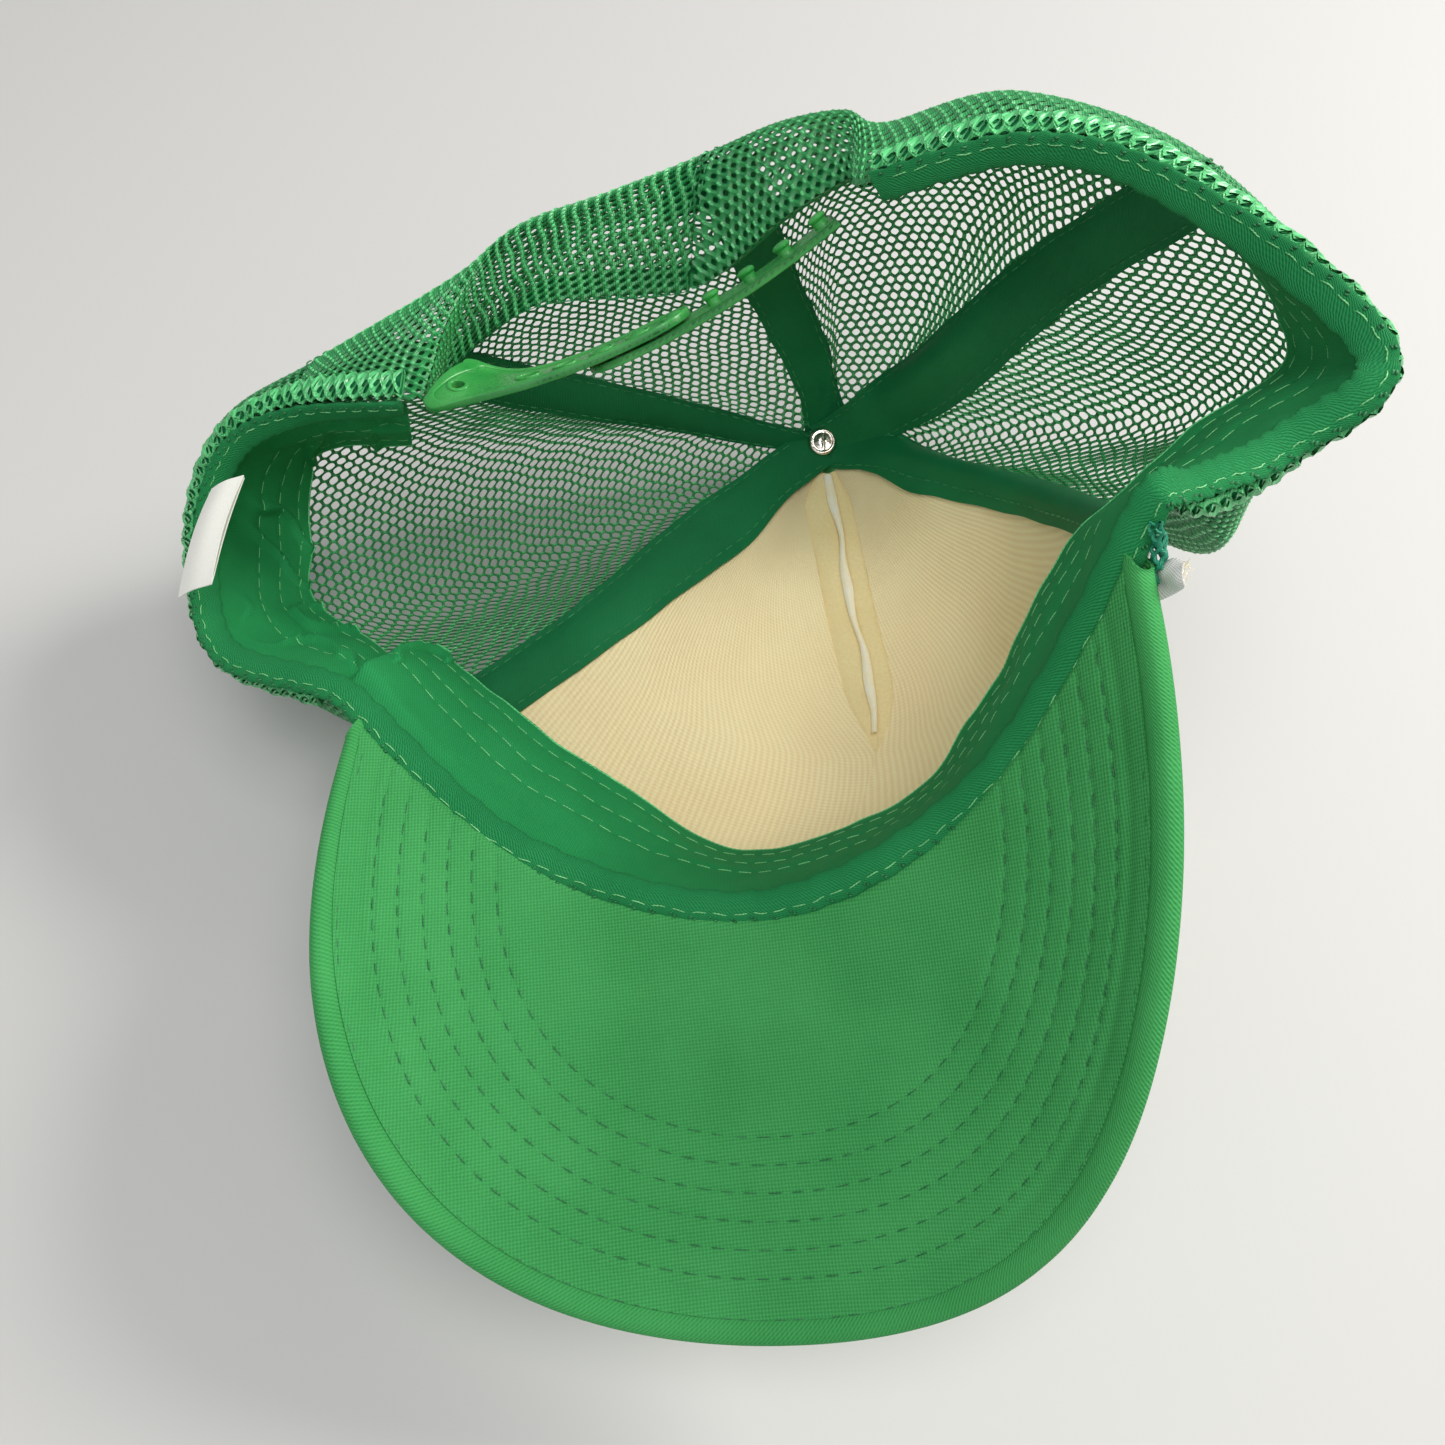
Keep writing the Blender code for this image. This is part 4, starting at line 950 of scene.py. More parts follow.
def make_sweatband(mats):
    columns = np.concatenate([np.linspace(RIM_LEFT_END, PLEAT - 0.45, 130),
                              np.linspace(PLEAT - 0.44, PLEAT + 0.4, 90),
                              np.linspace(PLEAT + 0.43, RIM_RIGHT_END, 330)])
    top = band_top(columns)
    _, down, out, _ = crown_frame(columns, np.zeros_like(columns))
    foot = crown(columns, np.zeros_like(columns)) - SWEATBAND_STANDOFF * out + 0.6 * MM * down
    share = np.linspace(0, 1, 46)
    grid = foot[None] * (1 - share[:, None, None]) + top[None] * share[:, None, None]
    normals = grid_normals(grid)
    normals = normals * np.sign((normals * out[None]).sum(-1))[..., None]
    rows = (0.88, 0.66, 0.44)
    pinch = np.exp(-((share[:, None] - np.array(rows)[None, :]) / 0.022) ** 2).sum(1)
    free = smooth(0.05, 0.5, share)[:, None]
    wave = 1.1 * MM * ripple(grid, 55, 4.0) * free + 0.40 * MM * ripple(grid, 150, 8.0)
    creases = smooth(0.14, 0.0, np.abs(ripple(grid * (1, 1, 0.5), 85, 14.0)))
    wave += 1.5 * MM * (columns < PLEAT)[None, :] * free * creases
    past = columns[None, :] - PLEAT + 0.30 * share[:, None]
    pleat = 4.6 * MM * smooth(-0.035, 0.035, past) * np.exp(-np.clip(past, 0, None) / 0.42)
    gully = 2.0 * MM * np.exp(-((past + 0.12) / 0.09) ** 2)
    height = wave + (pleat - gully) * smooth(0.0, 0.14, share)[:, None] - 0.28 * MM * pinch[:, None]
    grid = grid - normals * height[..., None]
    band = cloth_sheet("sweatband_cloth", grid, 0.8 * MM, mats["twill"], slot="twill")
    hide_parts("sweatband")
    threads = Bag()
    for row in rows:
        at = int(round(row * (len(share) - 1)))
        threads.stitches(grid[at], -normals[at], 4.3 * MM, 3.4 * MM, 0.10 * MM, 0.40 * MM, jitter=0.03)
    centre = grid[-1] + unit(grid[-1] - grid[-2]) * 0.1 * MM
    section_sweep("sweatband_piping", centre, normals[-1], unit(grid[-1] - grid[-2]),
                  ellipse(0.55 * MM, 0.4 * MM, 8), mats["overlock_and_glint"], slot="binding")
    make_rim_binding(mats, columns, threads)
    threads.piece("sweatband_stitches", mats["thread"], slot="twill")


BEAD_WIDTH = 6.2 * MM
BEAD_THICKNESS = 1.3 * MM


def make_rim_binding(mats, columns, threads):
    """Rolled binding at the foot of the sweatband, with its stitch row and needle holes; the holes are short
    dark threads sunk into the bead, painted shade.
    """
    _, down, out, _ = crown_frame(columns, np.zeros_like(columns))
    rim = crown(columns, np.zeros_like(columns))
    middle = BEAD_WIDTH / 2 - SWEATBAND_STANDOFF - 0.8 * MM
    wave = 0.18 * MM * np.sin(columns * 37) + 0.12 * MM * np.sin(columns * 83 + 1)
    centre = rim + (middle + wave)[:, None] * out - (BEAD_THICKNESS / 2 + 0.7 * MM) * down
    angles = np.arange(18) * TAU / 18
    section = np.stack([np.sign(np.cos(angles)) * np.abs(np.cos(angles)) ** 0.75 * BEAD_WIDTH / 2,
                        np.sign(np.sin(angles)) * np.abs(np.sin(angles)) ** 0.8 * BEAD_THICKNESS * 0.62], -1)
    bead = section_sweep("rim_binding", centre, out, -down, section, mats["binding"], slot="binding")
    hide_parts("sweatband_edge")
    above = centre - 0.62 * BEAD_THICKNESS * down
    threads.stitches(above + 1.3 * MM * out, -down, 4.0 * MM, 3.1 * MM, 0.13 * MM, -0.05 * MM, jitter=0.03)
    # Needle holes: short dark threads sunk into the bead, painted shade for the holes.
    holes = Bag()
    for side, start in ((2.1, 0.0), (2.6, 2.0)):
        holes.stitches(above + side * MM * out, -down, 4.0 * MM, 0.8 * MM, 0.22 * MM, -0.22 * MM,
                       start=start * MM)
    holes.piece("rim_needle_holes", mats["thread_dark"], slot="binding")


HEM_NET = (2.8 * MM, 2.6 * MM, 0.48 * MM)


def make_hems(mats):
    """The turned mesh edge: a packed roll of net with overlocked yarn over it."""
    spans = {"mesh_hem_right": (SEAMS["front_right"] + 0.25, RIM_RIGHT_END),
             "mesh_hem_left": (RIB["root_left"] + 0.12, SEAMS["front_left"] - 0.2)}
    wide, thick = 5.5 * MM, 1.8 * MM
    yarns = Bag()
    for node, (first, last) in spans.items():
        columns = np.linspace(first, last, 260)
        _, down, out, _ = crown_frame(columns, np.zeros_like(columns))
        rim = crown(columns, np.zeros_like(columns))
        wave = 0.25 * MM * np.sin(columns * 29)
        centre = rim + (0.4 * MM + 0.9 * MM + thick / 2 + wave)[:, None] * out + (0.4 * MM + wide / 2) * down
        core = section_sweep(node[5:] + "_core", centre, out, down, ellipse(thick * 0.36, wide * 0.46, 14),
                             mats["tape"], slot="green_mesh")
        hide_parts(node)
        run = run_lengths(centre)
        perimeter = math.pi * (thick / 2 + wide / 2)

        def place(x, y, height, run=run, centre=centre, out=out, down=down, perimeter=perimeter):
            angle = y / perimeter * TAU
            a = np.cos(angle) * (thick * 0.5 + height)
            b = np.sin(angle) * (wide * 0.5 + height)
            pick = [along_run(x, run, block) for block in (centre, out, down)]
            inside = (x > 0) & (x < run[-1]) & (y > -0.1 * MM) & (y < perimeter)
            return pick[0] + a[:, None] * unit(pick[1]) + b[:, None] * unit(pick[2]), inside

        net = Bag()
        net_cells(net, yarns, place, (0, run[-1]), (0.2 * MM, perimeter), lean=0.0, sizes=HEM_NET)
        net.piece(node[5:] + "_net", mats["overlock_and_glint"], slot="green_mesh")
    yarns.piece("overlock_and_glint_yarn", mats["overlock_and_glint"], slot="green_mesh")


def make_arch_binding(mats):
    """Tape that binds the edge of the rear opening, on its inside, with two stitch rows."""
    columns = np.linspace(RIB["arch_foot_right"] + 0.1, RIB["arch_foot_left"] - 0.1, 130)
    depth = np.linspace(0.2, 5.6, 15) * MM
    _, down, out, _ = crown_frame(columns, np.zeros_like(columns))
    rim = crown(columns, np.zeros_like(columns))
    puff = 0.35 * MM * np.sin(np.linspace(0, math.pi, len(depth)))
    grid = (rim[None] + depth[:, None, None] * down[None]
            - (1.35 * MM + puff)[:, None, None] * out[None])
    grid = grid - out[None] * (0.3 * MM * ripple(grid, 120, 1.0))[..., None]
    piece = cloth_sheet("arch_binding_cloth", grid, 0.6 * MM, mats["twill"], slot="binding")
    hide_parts("arch_binding")
    threads = Bag()
    for at in (2, 12):
        threads.stitches(grid[at], -out, 3.4 * MM, 2.6 * MM, 0.17 * MM, 0.35 * MM)
    threads.piece("arch_stitches", mats["thread_green"], slot="binding")


# ---- Brim -------------------------------------------------------------------------------

BRIM_FIRST_ROW = 11.3 * MM
BRIM_ROW_PITCH = 4.8 * MM
BRIM_ROWS = 6
BRIM_STITCH = 4.2 * MM
BRIM_TUCK = 3.5 * MM                     # how far the cover runs on under the sweatband
OUTLINE = brim_outline(np.linspace(-1, 1, 900))
OUTLINE_RUN = run_lengths(OUTLINE)


def from_outline(points):
    """Distance to the brim's outline in the pattern, and the place along the outline."""
    flat = points.reshape(-1, 2)
    distance = np.empty(len(flat))
    along = np.empty(len(flat))
    for start in range(0, len(flat), 4000):
        block = flat[start:start + 4000]
        gaps = np.linalg.norm(block[:, None] - OUTLINE[None], axis=2)
        nearest = gaps.argmin(1)
        distance[start:start + 4000] = gaps[np.arange(len(block)), nearest]
        along[start:start + 4000] = OUTLINE_RUN[nearest]
    return distance.reshape(points.shape[:-1]), along.reshape(points.shape[:-1])


def brim_relief(points):
    """Height of the quilted brim: grooves along the stitch rows, deeper at each needle hole."""
    distance, along = from_outline(points)
    height = np.zeros_like(distance)
    for row in range(BRIM_ROWS):
        away = (distance - BRIM_FIRST_ROW - row * BRIM_ROW_PITCH) / (0.75 * MM)
        needle = np.cos(along / BRIM_STITCH * TAU + row * 2.1)
        height -= (0.22 + 0.16 * smooth(0.2, 1.0, needle)) * MM * np.exp(-away**2)
    height -= 0.35 * MM * np.exp(-((distance - 8.6 * MM) / (1.5 * MM)) ** 2)
    return height


def brim_rays(count, rows, first, last):
    """Grid of pattern points from the inner edge to the outline; first and last are insets."""
    turn = np.linspace(-0.995, 0.995, count)
    s = turn * (BRIM_HALF_CHORD - 2.5 * MM)
    start = np.stack([s, brim_inner(s)], -1)
    way = brim_outline(turn) - start
    length = np.linalg.norm(way, axis=1)
    begin = np.full_like(length, first)
    reach = np.maximum(length - last, length * 0.15)
    share = np.linspace(0, 1, rows)[:, None]
    distance = begin[None] * (1 - share) + reach[None] * share
    return start[None] + (way / length[:, None])[None] * distance[..., None], turn


def make_brim(mats):
    fold = BRIM_BOARD / 2 + 0.3 * MM + BRIM_COVER / 2 + 0.1 * MM
    pattern, _ = brim_rays(420, 130, -BRIM_TUCK, BRIM_EDGE_BAND + 0.1 * MM)
    flat = np.concatenate([pattern, 0 * pattern[..., :1]], -1)
    relief = brim_relief(pattern) + 0.12 * MM * ripple(flat, 140, 3.0)
    past_seam = (brim_inner(pattern[..., 0]) - pattern[..., 1]) / BRIM_TUCK
    relief = relief - 1.1 * MM * smooth(0.2, 1.0, past_seam)
    grid = brim_point(pattern[..., 0], pattern[..., 1], fold + relief)
    lower = cloth_sheet("brim_underside", grid, BRIM_COVER, mats["canvas"], uv=pattern, slot="canvas")
    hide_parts("brim_lower_cover")
    pattern, turn = brim_rays(420, 110, -1.5 * MM, fold + BRIM_COVER / 2)
    top = brim_point(pattern[..., 0], pattern[..., 1], -fold - brim_relief(pattern) * 0.8)
    edge_at = pattern[-1]
    outward = unit(edge_at - pattern[-2])
    rows, spots = [top], [pattern]
    for angle in np.radians(np.linspace(-80, 80, 9)):
        place = edge_at + outward * fold * math.cos(angle)
        rows.append(brim_point(place[:, 0], place[:, 1], fold * math.sin(angle))[None])
        spots.append(place[None])
    for inset in np.linspace(0.0, 1.0, 6) * (BRIM_EDGE_BAND - fold):
        place = edge_at - outward * inset
        sag = 0.10 * MM - 0.45 * MM * smooth(0.6, 1.0, inset / (BRIM_EDGE_BAND - fold))
        rows.append(brim_point(place[:, 0], place[:, 1], fold + sag)[None])
        spots.append(place[None])
    grid = np.concatenate(rows)
    uv = grid_uv(grid)
    uv[:len(pattern)] = pattern
    uv[len(pattern):, :, 0] = OUTLINE_RUN[-1] * (turn[None] + 1) / 2
    upper = cloth_sheet("brim_top_cloth", grid, BRIM_COVER, mats["brim_top"], uv=uv, slot="brim_top")
    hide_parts("brim_upper_cover")
    make_brim_stitches(mats, fold)


def inset_outline(inset):
    """Pattern curve at a distance inside the outline, cut off at the brim's inner edge."""
    way = unit(np.gradient(OUTLINE, axis=0))
    inward = np.stack([way[:, 1], -way[:, 0]], -1)
    middle = len(OUTLINE) // 2
    inward = inward * (1 if inward[middle][1] < 0 else -1)
    curve = OUTLINE + inward * inset
    return curve[curve[:, 1] > brim_inner(np.clip(curve[:, 0], -BRIM_HALF_CHORD, BRIM_HALF_CHORD)) + 0.8 * MM]


def make_brim_stitches(mats, fold):
    dark, pale = Bag(), Bag()
    for row in range(BRIM_ROWS):
        curve = inset_outline(BRIM_FIRST_ROW + row * BRIM_ROW_PITCH)
        for bag, side in ((dark, 1), (pale, -1)):
            normals = side * brim_normal(curve[:, 0], curve[:, 1])
            path = brim_point(curve[:, 0], curve[:, 1], side * (fold + 0.08 * MM))
            bag.stitches(path, normals, BRIM_STITCH, 2.7 * MM, 0.11 * MM, 0.0, jitter=0.03)
    curve = inset_outline(BRIM_EDGE_BAND + 0.15 * MM)
    path = brim_point(curve[:, 0], curve[:, 1], fold + 0.10 * MM)
    dark.stitches(path, brim_normal(curve[:, 0], curve[:, 1]), 3.2 * MM, 3.1 * MM, 0.14 * MM, 0.0)
    dark.piece("brim_stitches", mats["thread_dark"], slot="canvas")
    pale.piece("brim_top_stitches", mats["thread_green"], slot="brim_top")


def make_corner(mats):
    """At the brim's right corner a bit of the white face fabric shows, with frayed ends."""
    a, b = np.meshgrid(np.linspace(0, 1, 34), np.linspace(-1, 1, 22))
    s = -BRIM_HALF_CHORD - 1.6 * MM + 1.0 * MM * b**2 + 9.0 * MM * a
    q = 6.0 * MM + 2.6 * MM * b * np.sqrt(1 - 0.5 * (1 - a) ** 6)
    off = -3.4 * MM - 0.8 * MM * b**2 * (1 - a)
    grid = brim_point(s, q, off)
    grid = grid + 0.9 * MM * ripple(grid, 330, 6.0)[..., None] * grid_normals(grid)
    cloth_sheet("face_corner", grid, 0.6 * MM, mats["white"], slot="white_fabric")
    frays = Bag()
    starts = grid[::2, 0]
    t = np.linspace(0, 1, 6)[None, :, None]
    ways = unit(starts - grid[::2, 3])[:, None] + 0.5 * RNG.uniform(-1, 1, (len(starts), 1, 3))
    curl = 0.6 * MM * RNG.uniform(-1, 1, (len(starts), 1, 3))
    paths = starts[:, None] + 1.3 * MM * t * ways + curl * t**2
    frays.threads(paths, np.broadcast_to(BRIM_UP, paths.shape), 0.09 * MM, 5)
    frays.piece("face_corner_frays", mats["white_thread"], slot="white_fabric")


def make_rope(mats):
    """Braided cord along the seam: six strands that pass over and under each other."""
    radius = 1.5 * MM
    below = -(BRIM_BOARD / 2 + 0.3 * MM + BRIM_COVER + 0.6 * MM + radius)
    s = np.linspace(-1, 0.97, 61) * (BRIM_HALF_CHORD - 4 * MM)
    path = brim_point(s, brim_inner(s) + 1.0 * MM, np.full(len(s), below))
    tip = [brim_point(-BRIM_HALF_CHORD - 1.6 * MM, -0.6 * MM, 1.2 * MM),
           brim_point(-BRIM_HALF_CHORD + 0.4 * MM, 0.8 * MM, -1.2 * MM)]
    path = np.array([*tip, *path])
    run = run_lengths(path)
    fine = np.linspace(0, run[-1], 620)
    path = along_run(fine, run, path)
    way = unit(np.gradient(path, axis=0))
    side = unit(np.cross(way, np.array([0.0, 0.0, 1.0])))
    other = np.cross(way, side)
    bag = Bag()
    pitch = 9.0 * MM
    for turning in (-1, 1):
        for strand in range(3):
            angle = turning * (fine / pitch * TAU) + strand * TAU / 3
            weave = 0.12 * turning * np.cos(3 * fine / pitch * TAU * 2)
            swing = radius * (0.62 + weave)
            centre = path + (swing * np.cos(angle))[:, None] * side + (swing * np.sin(angle))[:, None] * other
            outward = np.cos(angle)[:, None] * side + np.sin(angle)[:, None] * other
            bag.threads(centre[None], outward[None], 0.62 * MM, 8)
    piece = bag.piece("brim_cord", mats["rope"], slot="rope")
    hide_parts("brim_rope")


# ---- Button, rivet, strap and label -----------------------------------------------------


def turned(name, profile, centre, axis, mat, sides=48, **where):
    across = unit(np.cross(axis, (1.0, 0.2, 0.0)))
    other = np.cross(axis, across)
    angles = np.arange(sides) * TAU / sides
    ring = np.cos(angles)[:, None] * across + np.sin(angles)[:, None] * other
    profile = np.asarray(profile)
    points = centre + profile[:, 1, None, None] * axis + profile[:, 0, None, None] * ring[None]
    faces = [list(face) for face in grid_faces(len(profile), sides, wrap=True)]
    uv = np.stack(np.meshgrid(angles * profile[:, 0].max(), run_lengths(
        np.concatenate([profile, 0 * profile[:, :1]], 1))), -1)
    return add_piece(name, points, faces, mat, uv, **where)


def make_button(mats):
    centre = crown(0.0, 0.9999)
    outside = 5.0 * MM
    radius, tall = 7.0 * MM, 3.6 * MM
    angles = np.linspace(0, math.pi / 2, 14)
    dome = [(radius * math.cos(a) ** 0.8 + 1e-6, -outside - 0.9 * MM - (tall - 0.9 * MM) * math.sin(a) ** 0.9)
            for a in angles]
    neck = [(1e-6, -1.2 * MM), (radius * 0.50, -1.2 * MM), (radius * 0.62, -outside * 0.6),
            (radius * 0.86, -outside)]
    button = turned("button_cover", [*neck, (radius, -outside - 0.5 * MM), *dome],
                    centre, BUTTON_AXIS, mats["brim_top"], slot="brim_top")
    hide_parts("crown_button")
    rivet = 3.7 * MM
    inside = 3.2 * MM
    crest = [(0.96, 0), (1, 0.25), (0.99, 0.55), (0.93, 0.9), (0.84, 1.12), (0.76, 1.12), (0.70, 1.0),
             (0.55, 1.2), (0.35, 1.38), (0.15, 1.46), (1e-6 / rivet, 1.48)]
    profile = [(1.4 * MM, -outside + 0.3 * MM), (1.4 * MM, inside),
               *((rivet * part, inside + rise * MM) for part, rise in crest)]
    head = turned("rivet_head", profile, centre, BUTTON_AXIS, mats["metal"], slot="rivet_metal")
    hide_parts("button_rivet")
    for vertex in head.data.vertices:
        way = np.array(vertex.co) - PLACE - centre
        flat = way - (way @ BUTTON_AXIS) * BUTTON_AXIS
        reach = np.linalg.norm(flat)
        if way @ BUTTON_AXIS > inside + 0.9 * MM and reach < rivet * 0.68:
            crease = math.exp(-((flat[0] - 0.2 * MM) / (0.28 * MM)) ** 2) * (1 - (reach / (rivet * 0.7)) ** 2)
            vertex.co = np.array(vertex.co) - BUTTON_AXIS * 0.35 * MM * crease


STRAP_LEFT_ROOT = np.array([-0.0520, 0.0525, 0.0795])
STRAP_RIGHT_ROOT = np.array([0.0325, 0.0620, 0.1240])
STRAP_BOW = np.array([0.003, -0.006, -0.002])
STRAP_DOWN = unit(np.array([0.03, 0.76, -0.65]))
STRAP_TIP_LEFT = 0.637
STRAP_TIP_RIGHT = 0.385
STRAP_WIDTH = 18.0 * MM
STRAP_THICKNESS = 1.2 * MM
STRAP_LENGTH = np.linalg.norm(STRAP_RIGHT_ROOT - STRAP_LEFT_ROOT)
STUD_PITCH = 8.5 * MM
STUD_COUNT = 7
STRAP_TWIST = 0.72                       # how far the left root turns flat against the cap
STRAP_TWIST_REACH = 12.5 * MM
STRAP_LEAN = 0.03
ROOT_SLANT = 8.0 * MM                    # the left root is cut slanting
ROOT_HOLE = (9.0 * MM, -2.5 * MM)


def strap_place(along, across, height):
    """Points of the band: metres from the left root, across from its middle, and outwards."""
    part = along / STRAP_LENGTH
    base = STRAP_LEFT_ROOT + part[:, None] * (STRAP_RIGHT_ROOT - STRAP_LEFT_ROOT)
    base = base + (4 * part * (1 - part))[:, None] * STRAP_BOW
    ahead = (STRAP_RIGHT_ROOT - STRAP_LEFT_ROOT) + 4 * (1 - 2 * part)[:, None] * STRAP_BOW
    outward = -unit(np.cross(STRAP_DOWN, ahead))
    twist = STRAP_TWIST * np.exp(-(along / STRAP_TWIST_REACH) ** 2)[:, None] + STRAP_LEAN
    width_way = np.cos(twist) * STRAP_DOWN + np.sin(twist) * outward
    face_way = np.cos(twist) * outward - np.sin(twist) * STRAP_DOWN
    return base + (STRAP_WIDTH / 2 + across)[:, None] * width_way + height[:, None] * face_way


def arc(centre, radius, first, last, count):
    angles = np.linspace(first, last, count)
    return [(centre[0] + radius * math.cos(a), centre[1] + radius * math.sin(a)) for a in angles]


def moulded(name, outlines, low, high, edge):
    """Flat moulding from closed outlines (the first is the outside, the others are holes),
    rounded along its edges and wrapped on to the strap's line."""
    curve = bpy.data.curves.new(name, "CURVE")
    curve.dimensions = "2D"
    curve.fill_mode = "BOTH"
    curve.extrude = (high - low) / 2 - edge
    curve.bevel_depth = edge
    curve.bevel_resolution = 2
    curve.offset = -edge
    for outline in outlines:
        spline = curve.splines.new("POLY")
        spline.points.add(len(outline) - 1)
        for point, (x, y) in zip(spline.points, outline):
            point.co = (x, y, 0, 1)
        spline.use_cyclic_u = True
    holder = bpy.data.objects.new(name, curve)
    bpy.context.scene.collection.objects.link(holder)
    flat = bpy.data.meshes.new_from_object(holder.evaluated_get(bpy.context.evaluated_depsgraph_get()))
    bpy.data.objects.remove(holder)
    flat = cut_across(flat, 1.5 * MM)
    points = np.empty(len(flat.vertices) * 3)
    flat.vertices.foreach_get("co", points)
    points = points.reshape(-1, 3)
    faces = [list(face.vertices) for face in flat.polygons]
    uv = points[:, :2].copy()
    placed = strap_place(points[:, 0], points[:, 1], points[:, 2] + (low + high) / 2)
    return placed, faces, uv


def cut_across(mesh, step):
    """Cuts a flat mesh into strips so that it can bend."""
    bm = bmesh.new()
    bm.from_mesh(mesh)
    bmesh.ops.remove_doubles(bm, verts=bm.verts, dist=1e-6)
    low = min(vertex.co.x for vertex in bm.verts)
    high = max(vertex.co.x for vertex in bm.verts)
    for x in np.arange(low + step, high, step):
        bmesh.ops.bisect_plane(bm, geom=[*bm.verts, *bm.edges, *bm.faces], plane_co=(x, 0, 0),
                               plane_no=(1, 0, 0))
    bm.to_mesh(mesh)
    bm.free()
    return mesh


def band_outline(first, last, half, round_last):
    """Outline of a band with one round end and one slanted or square end."""
    soft = 3.0 * MM
    if round_last:
        return [*arc((first + soft, soft - half), soft, math.pi, 3 * math.pi / 2, 7),
                *arc((last - half, 0), half, -math.pi / 2, math.pi / 2, 24),
                *arc((first + ROOT_SLANT + soft, half - soft), soft, math.pi / 2, math.pi, 7)]
    return [*arc((first + half, 0), half, math.pi / 2, 3 * math.pi / 2, 24), (last, -half),
            (last, half)]


def merged(name, parts, mat, body):
    """One piece from several moulded parts."""
    blocks, faces, uvs, count = [], [], [], 0
    for points, block, uv in parts:
        blocks.append(points)
        faces += [[k + count for k in face] for face in block]
        uvs.append(uv)
        count += len(points)
    return add_piece(name, np.concatenate(blocks), faces, mat, np.concatenate(uvs), body=body,
                     slot="strap_plastic", smooth_angle=35)


def stud_place(number):
    """How far along the strap; the holes have the same places and pitch as the studs."""
    return (STRAP_TIP_RIGHT + 0.04) * STRAP_LENGTH + number * STUD_PITCH


def ring(centre, radius):
    return arc(centre, radius, 0, TAU * 23 / 24, 24)


def band(name, first, last, low, high, holes, rim, round_last):
    """The flat of a strap half and the raised frame round it. rim gives the frame's insets at
    its first end, last end and sides, its low and high faces and its rounding."""
    half = STRAP_WIDTH / 2
    outline = band_outline(first, last, half, round_last)
    inner = band_outline(first + rim[0], last - rim[1], half - rim[2], round_last)
    return [moulded(name, [outline, *holes], low, high, 0.3 * MM),
            moulded(name + "_rim", [outline, inner[::-1]], *rim[3:])]


def make_strap(mats):
    low = STRAP_THICKNESS + 0.6 * MM
    hole, collar, root_hole, root_ring = 2.4 * MM, 3.1 * MM, 1.4 * MM, 2.3 * MM
    places = [(stud_place(number), 0) for number in range(-2, 3)]
    holes = [ring(place, hole)[::-1] for place in places] + [ring(ROOT_HOLE, root_hole)[::-1]]
    parts = band("strap_base", 1.5 * MM, STRAP_TIP_LEFT * STRAP_LENGTH, low, low + 1.1 * MM, holes,
                 (2.5 * MM, 1.3 * MM, 1.3 * MM, low - 0.15 * MM, low + 1.6 * MM, 0.35 * MM), True)
    parts += [moulded("collar", [ring(place, collar), ring(place, hole)[::-1]], low + 0.4 * MM,
                      low + 1.5 * MM, 0.2 * MM) for place in places]
    parts.append(moulded("root_ring", [ring(ROOT_HOLE, root_ring), ring(ROOT_HOLE, root_hole)[::-1]],
                         low - 0.35 * MM, low + 1.4 * MM, 0.2 * MM))
    piece = merged("strap_holes_half", parts, mats["plastic"], "strap_left")
    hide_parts("strap_left")
    parts = band("tongue", STRAP_TIP_RIGHT * STRAP_LENGTH, 0.985 * STRAP_LENGTH, 0.0, STRAP_THICKNESS, [],
                 (1.2 * MM, 2 * MM, 1.2 * MM, -0.35 * MM, STRAP_THICKNESS, 0.3 * MM), False)
    parts += [stud(stud_place(number)) for number in range(STUD_COUNT)]
    piece = merged("strap_studs_half", parts, mats["plastic"], "strap_right")
    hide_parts("strap_right")


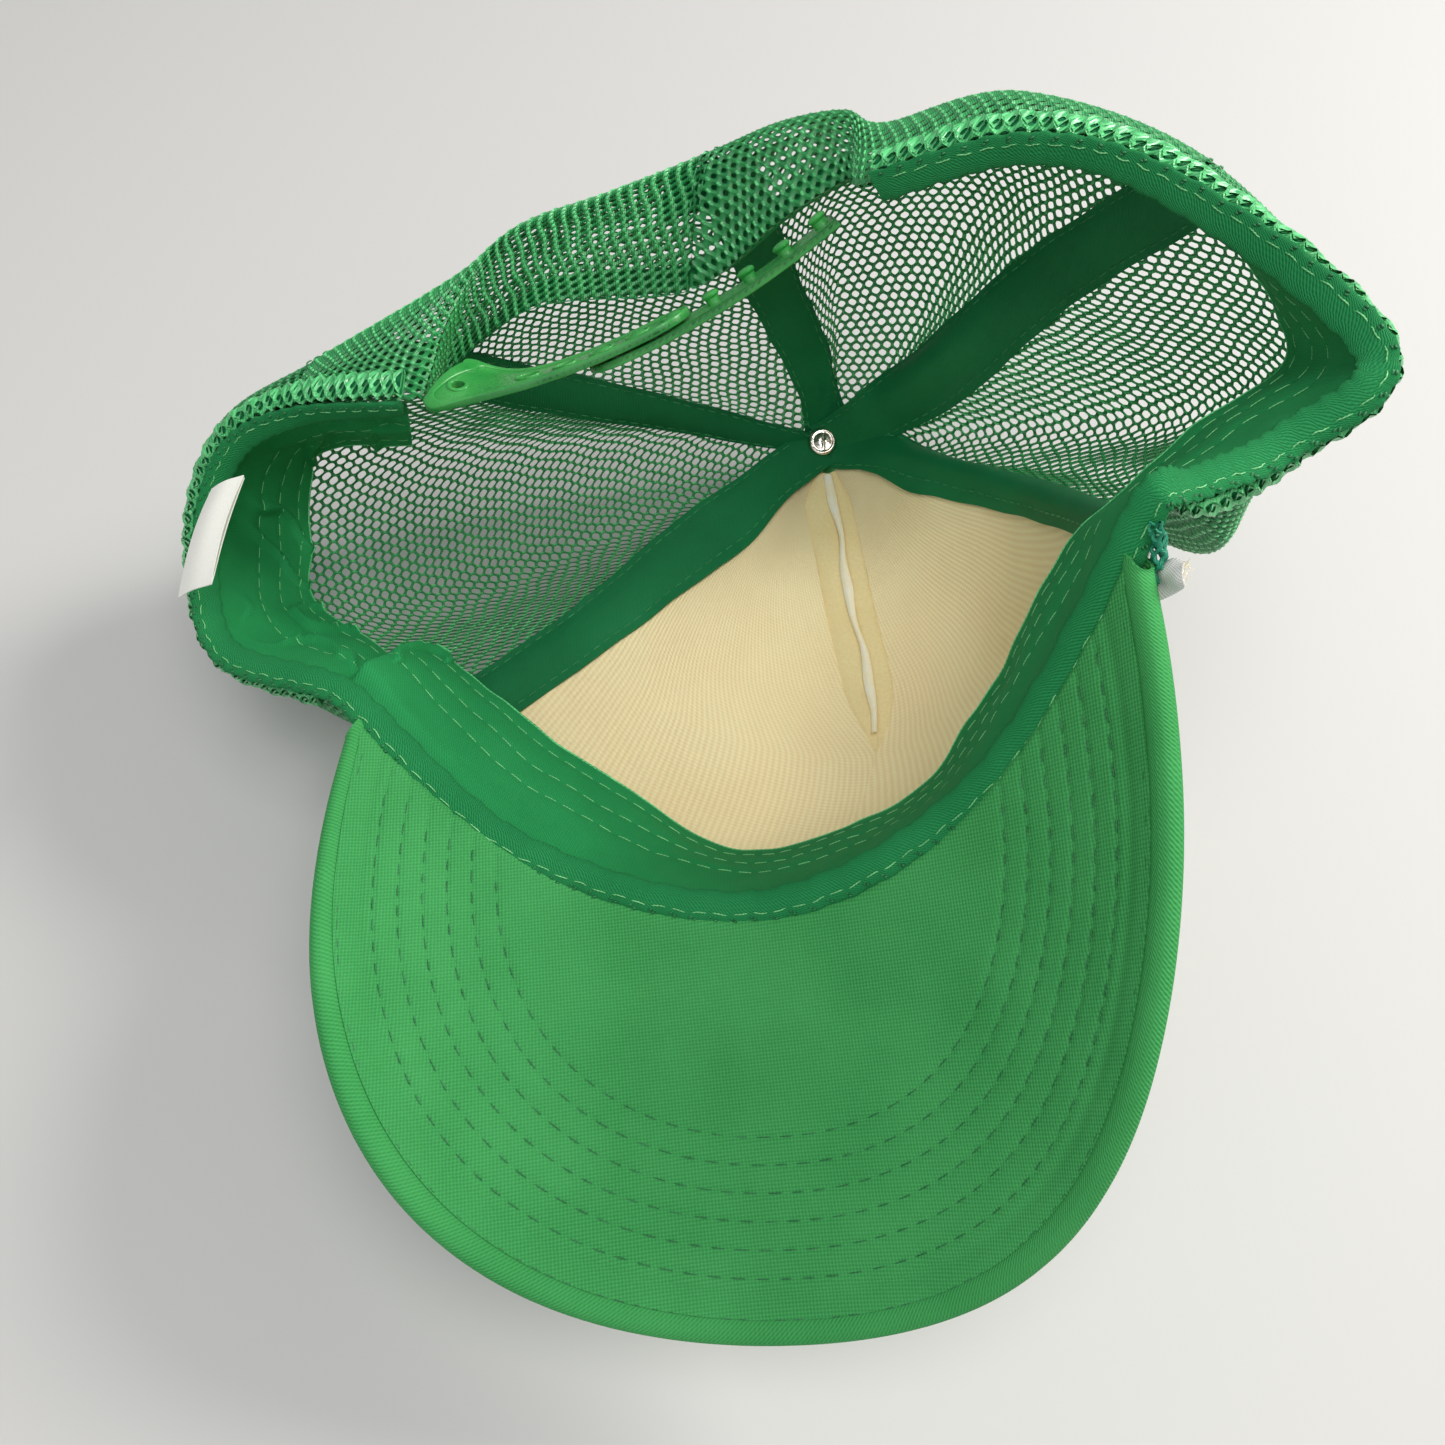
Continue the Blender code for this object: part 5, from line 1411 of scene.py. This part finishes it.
def stud(along, sides=20):
    """A domed stud with a small neck."""
    profile = [(1.55, 0.9), (1.45, 1.6), (1.5, 2.3), (1.9, 2.7), (1.95, 3.0), (1.75, 3.35), (1.2, 3.6),
               (0.5, 3.68), (0.01, 3.7)]
    angles = np.arange(sides) * TAU / sides
    points, uv = [], []
    for radius, height in profile:
        x = along + radius * MM * np.cos(angles)
        y = radius * MM * np.sin(angles)
        points.append(strap_place(x, y, np.full(sides, height * MM)))
        uv.append(np.stack([x, y], -1))
    faces = [list(face) for face in grid_faces(len(profile), sides, wrap=True)]
    return np.concatenate(points), faces, np.concatenate(uv)


LABEL_ROOT = (np.array([-0.0979, 0.0454, 0.0660]), np.array([-0.0907, 0.0470, 0.0690]))
LABEL_TIP = (np.array([-0.1023, 0.0214, 0.0610]), np.array([-0.0942, 0.0217, 0.0660]))


def make_label(mats):
    """Folded blank label: two leaves that meet in a rounded fold at the tip."""
    t = np.linspace(0, 1, 26)
    across = np.linspace(0, 1, 12)[:, None, None]
    lift = np.array([0.0, 0.0, 0.0015])
    leaves = []
    for leaf, order in ((1, t), (-1, t[::-1])):
        line = [LABEL_ROOT[k][None] * (1 - order[:, None]) + LABEL_TIP[k][None] * order[:, None]
                + lift * np.sin(order * math.pi)[:, None] for k in (0, 1)]
        grid = line[0][None] * (1 - across) + line[1][None] * across
        gap = leaf * (0.35 + 0.5 * np.sin(order * math.pi)) * MM * (1 - smooth(0.93, 1.0, order))
        leaves.append(grid + gap[None, :, None] * np.array([0.1, 0.1, 0.99]))
    grid = np.concatenate(leaves, axis=1)
    curl = 0.5 * MM * np.sin(np.linspace(0, math.pi, 12) * 1.3)[:, None]
    grid = grid + np.array([0.0, 0.0, 1.0]) * curl[..., None]
    piece = cloth_sheet("label_cloth", grid, 0.28 * MM, mats["label"], body="care_label", slot="label_fabric")
    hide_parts("care_label")


def carry_over(mats):
    """The hidden board stays as it is in the CAD, with its material."""
    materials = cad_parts["brim_board"].data.materials
    materials.clear()
    materials.append(mats["board"])


def main():
    make_camera()
    make_stage()
    mats = make_materials()
    for make in (make_nets, make_front, make_tapes, make_sweatband, make_hems, make_arch_binding, make_brim,
                 make_corner, make_rope, make_button, make_strap, make_label, carry_over):
        make(mats)


main()
